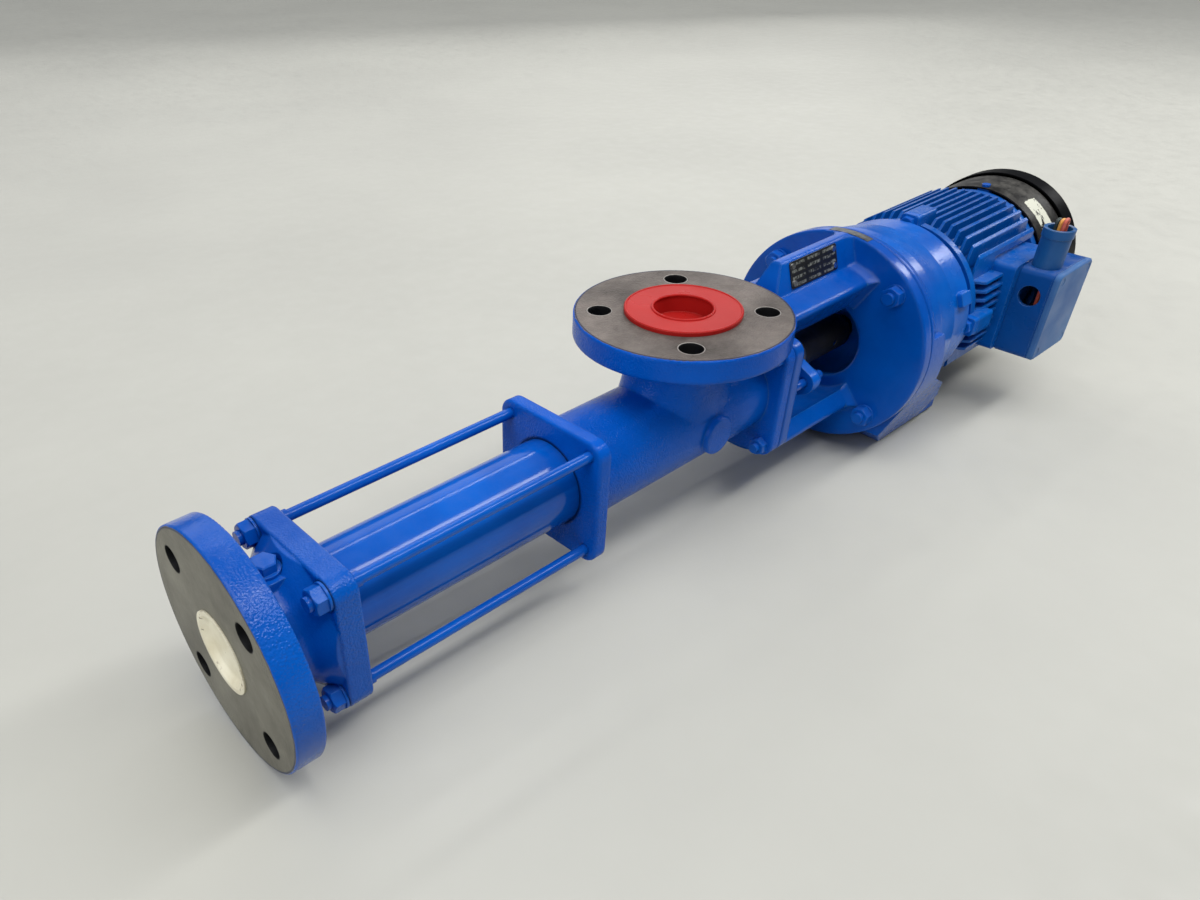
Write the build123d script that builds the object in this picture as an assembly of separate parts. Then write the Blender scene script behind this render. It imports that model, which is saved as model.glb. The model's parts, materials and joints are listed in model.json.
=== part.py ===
from build123d import *
import math
import os

# Progressive cavity pump in block construction: end cover, stator held by four tie rods,
# suction casing, lantern, foot ring and a flange motor on one axis.
# +X runs along the pump's axis from the end flange's face to the motor, +Z along the branch.
# All sizes are millimetres.

# ---------------------------------------------------------------- fits
fit = 0.1              # gap round a piece that seats in another of the same body
running = 0.06         # radial gap of a bearing or a shaft that turns
free = 0.35            # gap between pieces that move past each other

# ---------------------------------------------------------------- pipe flanges, DN50 PN16
flange_r = 82.5
flange_t = 20.0
branch_flange_t = 18.5
flange_pcd = 125.0
flange_hole_r = 9.0
port_r = 26.0
rim_round = 1.5

# ---------------------------------------------------------------- square plates and tie rods
plate_half = 51.0
plate_corner = 12.0
plate_round = 2.0
rod_spacing = 81.0     # centre to centre, both ways
rod_r = 4.0
rod_thread_r = 5.0
rod_thread_len = 36.0
rod_nut_af = 16.0
rod_nut_h = 8.0
rod_washer_r = 9.5
rod_washer_t = 1.6
rod_tip = 3.0
rod_play = 0.4         # radial gap where a rod or stud passes through a plate
thread_fit = 0.05      # radial gap of a thread, which is left smooth

# ---------------------------------------------------------------- stations along the axis
cover_plate_x = 52.0
cover_plate_t = 18.0
stator_len = 205.0
tube_socket = 5.0
case_plate_t = 12.0
branch_from_case = 138.5
case_len = 225.0
case_rear_t = 12.0
lantern_plate_t = 12.0
lantern_len = 127.0
lantern_flange_t = 12.0
foot_ring_t = 18.0
motor_flange_t = 12.0

# ---------------------------------------------------------------- end cover
cover_neck_r = 38.0
cover_flare_len = 15.0
cover_flare_r = 54.0
cover_seat_gap = 0.8   # round a washer, where its seat is cut into the flare
pad_x = 37.0
pad_size = 27.0
pad_top = 42.0
pad_corner = 4.0
plug_af = 15.0
plug_head_h = 6.5
plug_thread_r = 6.5
plug_thread_len = 9.0
plug_collar_r = 10.0
plug_collar_t = 2.0

# ---------------------------------------------------------------- rotor and stator
eccentricity = 4.5
rotor_r = 13.0
rotor_pitch = 48.0
tube_r = 33.0
tube_wall = 3.0
rotor_tail = 6.0       # how far the rotor stands out of the stator's front end
rotor_head_r = 17.0
rotor_head_len = 54.0
rotor_head_gap = 9.0   # from the stator's rear end to the head

# ---------------------------------------------------------------- pin joints and coupling rod
joint_pin_r = 5.0
joint_bore_r = 12.5
joint_bore_depth = 27.0
joint_pin_back = 14.0  # from a joint's mouth to its pin
rod_head_r = 10.5
rod_head_half = 12.0
rod_waist_r = 7.5
rod_taper = 9.0
bush_wall = 1.6
pin_play = 0.6
coupling_len = 124.0
joint_ring_wall = 2.6
joint_ring_len = 22.0

# ---------------------------------------------------------------- suction casing
case_r = 40.0
case_wall = 9.0
branch_face_z = 91.0
branch_neck_r = 37.0
branch_neck_taper = 1.5
branch_neck_long = 9.0
branch_skirt_half = 62.0
branch_skirt_z = 14.0
boss_r = 16.0
boss_face_y = 43.5
boss_z = -3.0
boss_x_from_branch = 8.0

# ---------------------------------------------------------------- shaft seal
shaft_r = 15.0
sleeve_r = 16.0
sleeve_gap = 22.0      # from the backed-off follower to the sleeve
sleeve_short = 8.0     # from the sleeve's rear end to the motor's flange
thrower_t = 6.0
thrower_h = 1.5
seal_flange_r = 42.0
seal_flange_t = 6.0
seal_body_r = 31.0
seal_body_len = 30.0
seal_bore_r = 24.0
seal_lip_t = 5.0
packing_count = 4
packing_t = 6.2
gland_t = 10.0
gland_travel = 6.0
gland_gap = 8.0        # from the stuffing box's mouth to the follower's plate
gland_centre_r = 28.0
gland_ear_r = 10.0
gland_stud_y = 40.0
gland_stud_r = 4.0
gland_stud_len = 59.5
gland_stud_root = 10.0
gland_nut_af = 13.0
gland_nut_h = 6.5

# ---------------------------------------------------------------- lantern
lantern_r = 97.5
lantern_mouth_r = 37.0
lantern_rear_bore_r = 56.0
top_arm_out_r = 74.0
top_arm_in_r = 46.0
top_arm_angle = 60.0
bottom_arm_out_r = 69.0
bottom_arm_in_r = 52.0
bottom_arm_angle = 80.0
arm_round = 4.0
root_round = 4.0
mouth_wall = 6.0
ridge_z = 98.0
ridge_top_w = 9.0
ridge_base_z = 67.0
ridge_base_w = 30.0
ridge_round = 3.0
ridge_slope_x = 20.0   # how far the ridge's front end leans back
register_r = 65.0
register_t = 3.0
case_bolt_r = 4.0
case_nut_af = 13.0
case_nut_h = 6.5

# ---------------------------------------------------------------- foot ring
foot_h = 105.0
foot_w = 120.0
foot_len = 104.0
foot_t = 11.0
foot_from_ring = 30.0     # from the ring's front face to the base
foot_ring_r = 97.0
foot_ring_lip = 2.0
saddle_top = 24.0      # height of the side walls' upper ends over the axis
saddle_top_len = 22.0     # from the ring's front face
saddle_waist_z = -24.0
saddle_waist_len = 34.0
saddle_knee_z = -44.0
saddle_knee_len = 70.0
saddle_len = 104.0
saddle_low = -76.0
saddle_front_z = -84.0
foot_wall = 10.0
foot_web = 14.0
foot_hole_r = 6.0
foot_hole_in = 20.0
foot_hole_span = 64.0
foot_hole_y = 36.0

# ---------------------------------------------------------------- flange bolting, FF165
motor_pcd = 165.0
stud_r = 5.0
stud_nut_af = 16.0
stud_nut_h = 8.0
stud_washer_r = 9.5
stud_washer_t = 1.6
stud_tip = 3.5
stud_depth = 9.0

# ---------------------------------------------------------------- motor
motor_flange_r = 90.0
cone_rear_r = 84.5
cone_len = 35.0
shield_r = 82.0
shield_len = 32.0
shield_rim_r = 70.0
shield_rim_len = 14.0
shield_in_r = 65.0
shield_web_t = 8.0
ear_x_from_shield = 10.0
ear_len = 16.0
ear_w = 13.0
ear_h = 5.0
ear_angle = 67.0
frame_len = 136.0
frame_r = 70.0
frame_wall = 5.0
frame_rim_r = 77.0
frame_rim_len = 8.0
fin_reach = 79.0
fin_corner = 66.0
fin_t = 2.6
fin_pitch = 8.4
fin_count = 16
side_fin_count = 9
fin_start = 9.0
fin_lead = 11.0
fin_root = 4.0
fin_trail = 4.0
lug_size = 17.0
lug_len = 26.0
lug_ear = 8.0
lug_r = 78.0
lug_round = 3.0
shield_bolt_r = 4.0
shield_bolt_af = 13.0
shield_bolt_h = 5.3
shield_bolt_len = 16.0
rear_shield_t = 10.0
rear_shield_r = 74.0
cowl_pad = 12.0
motor_shaft_r = 9.5
motor_shaft_len = 40.0
key_len = 20.0
key_w = 6.0
key_h = 6.0
key_in = 14.0
clamp_r = 2.5
clamp_in = 7.0
core_seat_r = 15.0
fan_seat_r = 9.0
core_len = 90.0
core_in_r = 41.0
air_gap = 0.6
winding_len = 17.0
core_from_frame = 22.0
bearing_r = 23.5
bearing_bore_r = 10.0
bearing_w = 14.0
bearing_in = 14.0      # from the flange's rear face, and from the frame's rear end
bearing_fit = 0.02
ball_r = 4.0
ball_pitch_r = 16.75
ball_count = 8
race_open = 2.0        # from the balls' pitch circle to each ring
hub_wall = 6.0

# ---------------------------------------------------------------- fan, cowl and canopy
fan_r = 68.0
fan_len = 30.0
fan_blade_t = 2.5
fan_blades = 7
fan_hub_r = 17.0
cowl_r = 80.0
cowl_wall = 1.5
cowl_gap = 1.5
cowl_len = 58.0
cowl_round = 9.0
cowl_screw_r = 2.0
cowl_screw_in = 5.0
fan_gap = 6.0          # from the rear shield to the fan
grille_hub_r = 14.0
grille_rings = 3
grille_gap = 12.0
grille_bar = 7.0
grille_spokes = 4
canopy_r = 82.5
canopy_gap = 18.0
canopy_depth = 24.0
canopy_t = 1.5
post_r = 4.0
post_circle_r = 66.0

# ---------------------------------------------------------------- terminal box
box_from_frame = 60.0
box_len = 70.0
box_bottom = -45.0
box_h = 87.0
box_back_y = 86.0
box_front_y = 116.0
saddle_from_box = 10.0
saddle_behind = 6.0    # from the box's rear side to the block's
saddle_over = 2.0      # height of the block over the box's upper side
saddle_under = 3.0
saddle_round = 5.0
box_wall = 4.0
box_round = 6.0
gasket_t = 1.5
lid_t = 5.0
lid_screw_r = 2.0
lid_screw_in = 8.0
entry_r = 10.0
entry_z = 16.5
spout_in = 18.0
spout_r = 12.8
spout_wall = 2.3
spout_h = 36.0
spout_collar_r = 13.6
spout_collar_h = 8.0
wire_hole_r = 12.0
board_len = 40.0
board_w = 24.0
board_t = 6.0
board_drop = 32.0
terminal_r = 2.5
terminal_h = 12.0
terminal_rows = (0.28, 0.72)
lead_r = 1.6
lead_bow = 3.4
lead_tuck = 12.0

# ---------------------------------------------------------------- caps and plate
cap_rim_r = 44.3
cap_rim_t = 3.0
cap_depth = 13.0
cap_wall = 2.6
plug_rim_r = 28.0
plug_rim_t = 1.2
end_plug_depth = 12.0
end_plug_wall = 2.0
end_plug_dish = 4.0
nameplate_len = 66.0
nameplate_w = 22.0
nameplate_t = 1.0
nameplate_from_lantern = 72.0
nameplate_up = 0.6     # share of the ridge's side up to the plate's middle
rivet_r = 1.5

# ---------------------------------------------------------------- derived stations
cover_rear = cover_plate_x + cover_plate_t
stator_x0 = cover_rear - tube_socket
stator_x1 = stator_x0 + stator_len
case_x = stator_x1 - tube_socket
branch_x = case_x + branch_from_case
case_rear = case_x + case_len
lantern_x = case_rear
lantern_rear = lantern_x + lantern_len + lantern_flange_t
lantern_face = lantern_x + lantern_len
foot_x = lantern_rear
motor_x = foot_x + foot_ring_t
cone_x = motor_x + motor_flange_t
shield_x = cone_x + cone_len
frame_x = shield_x + shield_len + shield_rim_len
frame_rear = frame_x + frame_len
cowl_x = frame_rear + cowl_gap
cowl_rear = cowl_x + cowl_len
rod_half = rod_spacing / 2
case_bore_r = case_r - case_wall
rotor_x0 = stator_x0 - rotor_tail
head_x = stator_x1 + rotor_head_gap
head_rear = head_x + rotor_head_len
rotor_pin_x = head_rear - joint_pin_back
drive_pin_x = rotor_pin_x + coupling_len
drive_front = drive_pin_x - joint_pin_back
socket_r = rotor_head_r + 2.0
seal_x = case_rear - seal_flange_t
seal_rear = case_rear + seal_body_len
gland_x = seal_rear + gland_gap
gland_rear = gland_x + gland_t
sleeve_front = gland_rear + gland_travel + sleeve_gap
motor_shaft_x = motor_x - motor_shaft_len
sleeve_rear = motor_x - sleeve_short
key_x = motor_shaft_x + key_in
clamp_x = motor_shaft_x + clamp_in
bearing_x = cone_x + bearing_in
rear_bearing_x = frame_rear - bearing_in
fan_x = frame_rear + rear_shield_t + fan_gap
cowl_screw_x = cowl_x + cowl_screw_in
box_x = frame_x + box_from_frame
saddle_x = box_x - saddle_from_box
saddle_block_len = box_len + saddle_from_box - saddle_behind
saddle_bottom = box_bottom + saddle_under
saddle_h = box_h - saddle_under + saddle_over
entry_y = (box_back_y + box_front_y) / 2
spout_x = box_x + spout_in
spout_y = entry_y
nameplate_x = lantern_x + nameplate_from_lantern
cowl_screw_angles = (0, 90, 180, 270)


# ---------------------------------------------------------------- helpers
def along_x(sketch, x0, x1):
    """Prism of a Y-Z sketch between two stations."""
    return extrude(Pos(x0, 0, 0) * (Plane.YZ * sketch), x1 - x0)


def bar(x0, x1, r, y=0.0, z=0.0):
    """Round bar along X."""
    return along_x(Pos(y, z) * Circle(r), x0, x1)


def ring(x0, x1, r_out, r_in, y=0.0, z=0.0):
    """Round tube along X."""
    return along_x(Pos(y, z) * (Circle(r_out) - Circle(r_in)), x0, x1)


def turned(*points, rounds=None):
    """Solid turned about X from (x, radius) corners; rounds gives a corner's fillet."""
    if rounds is None:
        outline = Polyline(*points, close=True)
    else:
        radii = [rounds.get(number, 0) for number in range(len(points))]
        outline = FilletPolyline(*points, radius=radii, close=True)
    return revolve(make_face(outline), Axis.X)


def stud_z(x, y, z0, z1, r):
    """Round bar along Z."""
    return extrude(Pos(x, y, z0) * Circle(r), z1 - z0)


def stud_y(x, z, y0, y1, r):
    """Round bar along Y from y0 up to y1."""
    return extrude(Pos(x, y0, z) * (Plane.XZ * Circle(r)), -(y1 - y0))


def square(half=rod_half):
    """Four corners of a square round the axis."""
    return [(half, half), (-half, half), (-half, -half), (half, -half)]


def circle_of(pcd, count=4, start=45.0):
    """Hole centres round the axis."""
    step = 360.0 / count
    angles = [math.radians(start + step * number) for number in range(count)]
    return [(pcd / 2 * math.cos(a), pcd / 2 * math.sin(a)) for a in angles]


def hex_bar(x0, x1, across, hole_r, y=0.0, z=0.0, turn=0.0):
    """Hexagon nut or head along X with its outer corners chamfered on the low-x side."""
    flat = Rot(0, 0, turn) * RegularPolygon(across / 2, 6, major_radius=False)
    if hole_r > 0:
        flat = flat - Circle(hole_r)
    body = along_x(Pos(y, z) * flat, x0, x1)
    corner = across / math.sqrt(3)
    cone = Pos(0, y, z) * turned(
        (x0, 0), (x0, across / 2 - 0.2), (x0 + corner - across / 2 + 0.2, corner + 0.4), (x1, corner + 0.4), (x1, 0)
    )
    return body & cone


def plate(x0, x1):
    """Square plate with round corners and softened edges."""
    body = along_x(RectangleRounded(2 * plate_half, 2 * plate_half, plate_corner), x0, x1)
    rims = body.faces().filter_by(Axis.X).edges()
    return fillet(rims, plate_round)


def group(pieces):
    """Several separate solids in one node."""
    solids = []
    for piece in pieces:
        solids.extend(piece.solids())
    return Compound(children=solids)


def save(name, shape):
    """Write one node."""
    if not isinstance(shape, Compound) or len(shape.solids()) == 1:
        shape = shape.solids()[0]
    export_step(shape, f"parts/{name}.step")


os.makedirs("parts", exist_ok=True)


# ---------------------------------------------------------------- end cover
def make_end_cover():
    body = turned(
        (0, port_r), (0, flange_r), (flange_t, flange_r), (flange_t, cover_neck_r),
        (cover_plate_x - cover_flare_len, cover_neck_r),
        (cover_plate_x + 1, cover_flare_r), (cover_plate_x + 1, port_r),
        rounds={1: rim_round, 2: rim_round, 3: 5.0, 4: 12.0},
    )
    flare_room = RectangleRounded(2 * plate_half - plate_round, 2 * plate_half - plate_round, plate_corner)
    for y, z in square():
        flare_room = flare_room - Pos(y, z) * Circle(rod_washer_r + cover_seat_gap)
    body = body - (bar(flange_t + 1, cover_plate_x + 2, flange_r) - along_x(flare_room, flange_t, cover_plate_x + 3))
    body = body + (plate(cover_plate_x, cover_rear) - bar(cover_plate_x - 1, cover_rear + 1, port_r))
    pad = Pos(pad_x, 0, 0) * extrude(RectangleRounded(pad_size, pad_size, pad_corner), pad_top)
    body = body + (pad - bar(flange_t, cover_plate_x, port_r + 2))
    body = body - bar(stator_x0, cover_rear + 1, tube_r + fit)
    for y, z in circle_of(flange_pcd):
        body = body - bar(-1, flange_t + 1, flange_hole_r, y, z)
    for y, z in square():
        body = body - bar(cover_plate_x - 1, cover_rear + 1, rod_thread_r + rod_play, y, z)
    body = body - stud_z(pad_x, 0, pad_top, plate_half + 1, plug_collar_r + cover_seat_gap)
    return body - stud_z(pad_x, 0, port_r - 2, pad_top + 1, plug_thread_r + fit)


def make_cover_plug():
    collar = stud_z(pad_x, 0, pad_top, pad_top + plug_collar_t, plug_collar_r)
    head = Pos(pad_x, 0, pad_top + plug_collar_t) * extrude(
        RegularPolygon(plug_af / 2, 6, major_radius=False), plug_head_h
    )
    head = chamfer(head.faces().sort_by(Axis.Z)[-1].edges(), 1.0)
    return collar + head + stud_z(pad_x, 0, pad_top - plug_thread_len, pad_top, plug_thread_r)


save("end_cover", make_end_cover())
save("cover_plug_screw", make_cover_plug())


# ---------------------------------------------------------------- stator and its tie rods
stator_pitch = 2 * rotor_pitch
lining_r = tube_r - tube_wall - running


def make_lining():
    """Rubber lining with its double helix cavity."""
    over = 2.0
    length = stator_len + 2 * over
    cavity_r = rotor_r + free
    slot = SlotCenterToCenter(4 * eccentricity, 2 * cavity_r)
    start = Pos(stator_x0 - over, 0, 0) * (Plane.YZ * (Rot(0, 0, slot_angle(stator_x0 - over)) * slot))
    turn = 360.0 * length / stator_pitch
    cavity = Solid.extrude_linear_with_rotation(
        start.faces()[0], (stator_x0 - over, 0, 0), (length, 0, 0), turn
    )
    return bar(stator_x0, stator_x1, lining_r) - cavity


def slot_angle(x):
    """Direction of the cavity's long axis at a station, in degrees from +Y."""
    return 360.0 * (x - rotor_x0) / stator_pitch


def make_rotor():
    """Single helix with its round head, on the axis that orbits the stator's."""
    length = head_x - rotor_x0
    section = Pos(rotor_x0, eccentricity, 0) * (Plane.YZ * (Pos(eccentricity, 0) * Circle(rotor_r)))
    helix = Solid.extrude_linear_with_rotation(
        section.faces()[0], (rotor_x0, eccentricity, 0), (length, 0, 0), 360.0 * length / rotor_pitch
    )
    head = Pos(0, eccentricity, 0) * turned(
        (head_x - 0.5, 0), (head_x - 0.5, rotor_head_r), (head_rear, rotor_head_r),
        (head_rear, joint_bore_r), (head_rear - joint_bore_depth, joint_bore_r),
        (head_rear - joint_bore_depth, 0), rounds={1: 2.0},
    )
    pin_hole = stud_z(rotor_pin_x, eccentricity, -rotor_head_r - 1, rotor_head_r + 1, joint_pin_r + bearing_fit)
    return Solid.fuse(helix, head.solids()[0]) - pin_hole


def make_tie_rods():
    x0 = cover_plate_x - rod_washer_t - rod_nut_h - rod_tip
    return group([bar(x0, case_x + case_plate_t - 1, rod_r, y, z) + bar(x0, x0 + rod_thread_len, rod_thread_r, y, z)
                  for y, z in square()])


def make_tie_nuts():
    x1 = cover_plate_x - rod_washer_t
    return group([hex_bar(x1 - rod_nut_h, x1, rod_nut_af, rod_thread_r + thread_fit, y, z, 12 + 20 * n)
                  for n, (y, z) in enumerate(square())])


def make_tie_washers():
    x1 = cover_plate_x
    return group([ring(x1 - rod_washer_t, x1, rod_washer_r, rod_thread_r + rod_play, y, z) for y, z in square()])


save("stator_tube", ring(stator_x0, stator_x1, tube_r, tube_r - tube_wall))
save("stator_lining", make_lining())
save("rotor", make_rotor())
save("tie_rods", make_tie_rods())
save("tie_rod_nuts", make_tie_nuts())
save("tie_rod_washers", make_tie_washers())


# ---------------------------------------------------------------- pin joints and coupling rod
def make_joint_pin(x, y, r):
    return stud_z(x, y, -(r - 0.5), r - 0.5, joint_pin_r)


def make_coupling_rod():
    """Rod in its own frame along X, pin to pin, then laid between the two joints."""
    end = coupling_span + rod_head_half
    rod = turned(
        (-rod_head_half, 0), (-rod_head_half, rod_head_r), (rod_head_half, rod_head_r),
        (rod_head_half + rod_taper, rod_waist_r), (coupling_span - rod_head_half - rod_taper, rod_waist_r),
        (coupling_span - rod_head_half, rod_head_r), (end, rod_head_r), (end, 0),
        rounds={1: 2.0, 2: 3.0, 3: 3.0, 4: 3.0, 5: 3.0, 6: 2.0},
    )
    for x in (0, coupling_span):
        rod = rod - stud_z(x, 0, -rod_head_r - 1, rod_head_r + 1, bush_r)
    return rod_place * rod


def make_bushes():
    bushes = []
    for x in (0, coupling_span):
        bush = stud_z(x, 0, -rod_head_r, rod_head_r, bush_r - 0.03)
        bush = bush - stud_z(x, 0, -rod_head_r - 1, rod_head_r + 1, bush_r - bush_wall)
        bushes.append(rod_place * (bush & bar(x - rod_head_half, x + rod_head_half, rod_head_r - 0.1)))
    return group(bushes)


bush_r = joint_pin_r + pin_play + bush_wall
coupling_span = math.hypot(coupling_len, eccentricity)
coupling_tilt = math.degrees(math.atan2(eccentricity, coupling_len))
rod_place = Pos(rotor_pin_x, eccentricity, 0) * Rot(0, 0, -coupling_tilt)
ring_in_r = rotor_head_r + free
save("rotor_joint_pin", make_joint_pin(rotor_pin_x, eccentricity, rotor_head_r))
save("drive_joint_pin", make_joint_pin(drive_pin_x, 0, socket_r))
save("coupling_rod", make_coupling_rod())
save("coupling_bushes", make_bushes())
save("rotor_joint_ring", ring(rotor_pin_x - joint_ring_len / 2, rotor_pin_x + joint_ring_len / 2,
                              ring_in_r + joint_ring_wall, ring_in_r, eccentricity, 0))


# ---------------------------------------------------------------- suction casing
def make_casing():
    body = plate(case_x, case_x + case_plate_t) + plate(case_rear - case_rear_t, case_rear)
    body = body + bar(case_x + 1, case_rear - 1, case_r)
    skirt = loft([
        Pos(branch_x, 0, branch_skirt_z) * Ellipse(branch_skirt_half, branch_neck_r + branch_neck_taper),
        Pos(branch_x, 0, (branch_skirt_z + branch_face_z - branch_flange_t) / 2) * Ellipse(
            branch_neck_r + branch_neck_long, branch_neck_r),
        Pos(branch_x, 0, branch_face_z - branch_flange_t) * Ellipse(
            branch_neck_r + branch_neck_taper, branch_neck_r + branch_neck_taper),
    ])
    body = body + skirt
    branch = extrude(Pos(branch_x, 0, branch_face_z - branch_flange_t) * Circle(flange_r), branch_flange_t)
    body = body + fillet(branch.edges(), rim_round)
    boss_x = branch_x + boss_x_from_branch
    boss = stud_y(boss_x, boss_z, -boss_face_y, -case_bore_r - 2, boss_r)
    body = body + fillet(boss.faces().sort_by(Axis.Y)[0].edges(), 1.5)
    body = body - bar(case_x - 1, case_x + case_plate_t, lining_r - 1)
    body = body - bar(case_x - 1, stator_x1, tube_r + fit)
    body = body - bar(case_x + case_plate_t - 0.5, case_rear - seal_flange_t, case_bore_r)
    body = body - bar(seal_x, case_rear + 1, seal_flange_r + fit)
    body = body - stud_z(branch_x, 0, 0, branch_face_z + 1, port_r)
    for y, z in circle_of(flange_pcd):
        body = body - stud_z(branch_x + y, z, branch_face_z - branch_flange_t - 1, branch_face_z + 1, flange_hole_r)
    for y, z in square():
        body = body - bar(case_x - 1, case_x + case_plate_t - 1, rod_r + thread_fit, y, z)
        body = body - bar(case_rear - case_rear_t - 1, case_rear + 1, case_bolt_r + rod_play, y, z)
    return body


save("suction_casing", make_casing())


# ---------------------------------------------------------------- shaft seal
def make_seal_housing():
    return turned(
        (seal_x, shaft_r + 0.5), (seal_x, seal_flange_r), (case_rear, seal_flange_r),
        (case_rear, seal_body_r), (seal_rear, seal_body_r), (seal_rear, seal_bore_r),
        (seal_x + seal_lip_t, seal_bore_r), (seal_x + seal_lip_t, shaft_r + 0.5),
    )


def make_packing():
    x0 = seal_x + seal_lip_t
    rings = [ring(x0 + n * packing_t + 0.1, x0 + (n + 1) * packing_t, seal_bore_r - fit, shaft_r + running)
             for n in range(packing_count)]
    return group(rings)


def oval_plate():
    """Follower plate: a round centre with an ear for each stud."""
    ears = Circle(gland_ear_r)
    outline = make_hull(
        ((Pos(gland_stud_y, 0) * ears).edges() + (Pos(-gland_stud_y, 0) * ears).edges()
         + Circle(gland_centre_r).edges())
    )
    return outline


def make_gland():
    body = along_x(oval_plate(), gland_x, gland_rear)
    nose_x = seal_x + seal_lip_t + packing_count * packing_t + 0.3
    body = body + bar(nose_x, gland_x + 1, seal_bore_r - free)
    body = body - bar(nose_x - 1, gland_rear + 1, shaft_r + free)
    for y in (-gland_stud_y, gland_stud_y):
        body = body - bar(gland_x - 1, gland_rear + 1, gland_stud_r + free, y, 0)
    return body


stud_x0 = lantern_x + lantern_plate_t - gland_stud_root
save("seal_housing", make_seal_housing())
save("packing_rings", make_packing())
save("gland_follower", make_gland())
save("gland_studs", group([bar(stud_x0, stud_x0 + gland_stud_len, gland_stud_r, y, 0)
                           for y in (-gland_stud_y, gland_stud_y)]))
save("gland_nuts", group([hex_bar(gland_rear, gland_rear + gland_nut_h, gland_nut_af, gland_stud_r + free, y, 0, 8)
                          for y in (-gland_stud_y, gland_stud_y)]))


# ---------------------------------------------------------------- drive shaft
def make_drive_shaft():
    """Plug-in shaft: joint socket, packed journal and the sleeve over the motor's shaft."""
    shaft = turned(
        (drive_front, joint_bore_r), (drive_front, socket_r), (drive_pin_x + joint_pin_back, socket_r),
        (drive_pin_x + joint_pin_back + 4, shaft_r), (sleeve_front, shaft_r), (sleeve_front, sleeve_r),
        (sleeve_rear, sleeve_r), (sleeve_rear, motor_shaft_r + running),
        (motor_shaft_x - 2, motor_shaft_r + running), (motor_shaft_x - 2, 0),
        (drive_front + joint_bore_depth, 0), (drive_front + joint_bore_depth, joint_bore_r),
        rounds={6: 1.0},
    )
    shaft = shaft - stud_z(drive_pin_x, 0, -socket_r - 1, socket_r + 1, joint_pin_r + bearing_fit)
    shaft = shaft - stud_y(clamp_x, 0, -sleeve_r - 1, sleeve_r + 1, clamp_r + bearing_fit)
    keyway = Pos(key_x, 0, motor_shaft_r) * Box(
        sleeve_rear - key_x + 1, key_w + fit, key_h + 2 * fit, align=(Align.MIN, Align.CENTER, Align.CENTER))
    return shaft - keyway


def make_motor_shaft():
    shaft = turned(
        (motor_shaft_x, 0), (motor_shaft_x, motor_shaft_r), (bearing_x - 6, motor_shaft_r),
        (bearing_x - 6, bearing_bore_r), (bearing_x + bearing_w, bearing_bore_r),
        (bearing_x + bearing_w, core_seat_r), (rear_bearing_x, core_seat_r),
        (rear_bearing_x, bearing_bore_r), (rear_bearing_x + bearing_w + 2, bearing_bore_r),
        (rear_bearing_x + bearing_w + 2, fan_seat_r), (fan_x + fan_len - 2, fan_seat_r),
        (fan_x + fan_len - 2, 0),
    )
    shaft = shaft - stud_y(clamp_x, 0, -sleeve_r, sleeve_r, clamp_r + bearing_fit)
    return shaft - Pos(key_x, 0, motor_shaft_r) * Box(
        key_len + fit, key_w + fit / 2, key_h + fit, align=(Align.MIN, Align.CENTER, Align.CENTER))


save("drive_shaft", make_drive_shaft())
save("motor_shaft", make_motor_shaft())
save("shaft_key", Pos(key_x, 0, motor_shaft_r) * Box(
    key_len, key_w, key_h, align=(Align.MIN, Align.CENTER, Align.CENTER)))
save("shaft_cross_pin", stud_y(clamp_x, 0, -sleeve_r + 0.4, sleeve_r - 0.4, clamp_r))
save("thrower_ring", ring(sleeve_front - thrower_t - 0.1, sleeve_front - 0.1, sleeve_r + thrower_h, shaft_r + bearing_fit))


# ---------------------------------------------------------------- lantern
def sector(r_out, r_in, centre, spread):
    """Ring sector in the Y-Z plane; angles in degrees from +Y."""
    reach = 2.2 * r_out
    a0 = math.radians(centre - spread / 2)
    a1 = math.radians(centre + spread / 2)
    wedge = make_face(Polyline((0, 0), (reach * math.cos(a0), reach * math.sin(a0)),
                               (reach * math.cos(a1), reach * math.sin(a1)), close=True))
    return (Circle(r_out) - Circle(r_in)) & wedge


def arm_root(section):
    """Sloped root where an arm of this section meets the big flange."""
    wide = offset(section, amount=root_round, kind=Kind.INTERSECTION)
    return loft([Pos(lantern_face - 2 * root_round, 0, 0) * (Plane.YZ * section),
                 Pos(lantern_face + 0.5, 0, 0) * (Plane.YZ * wide)], ruled=True)


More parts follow.
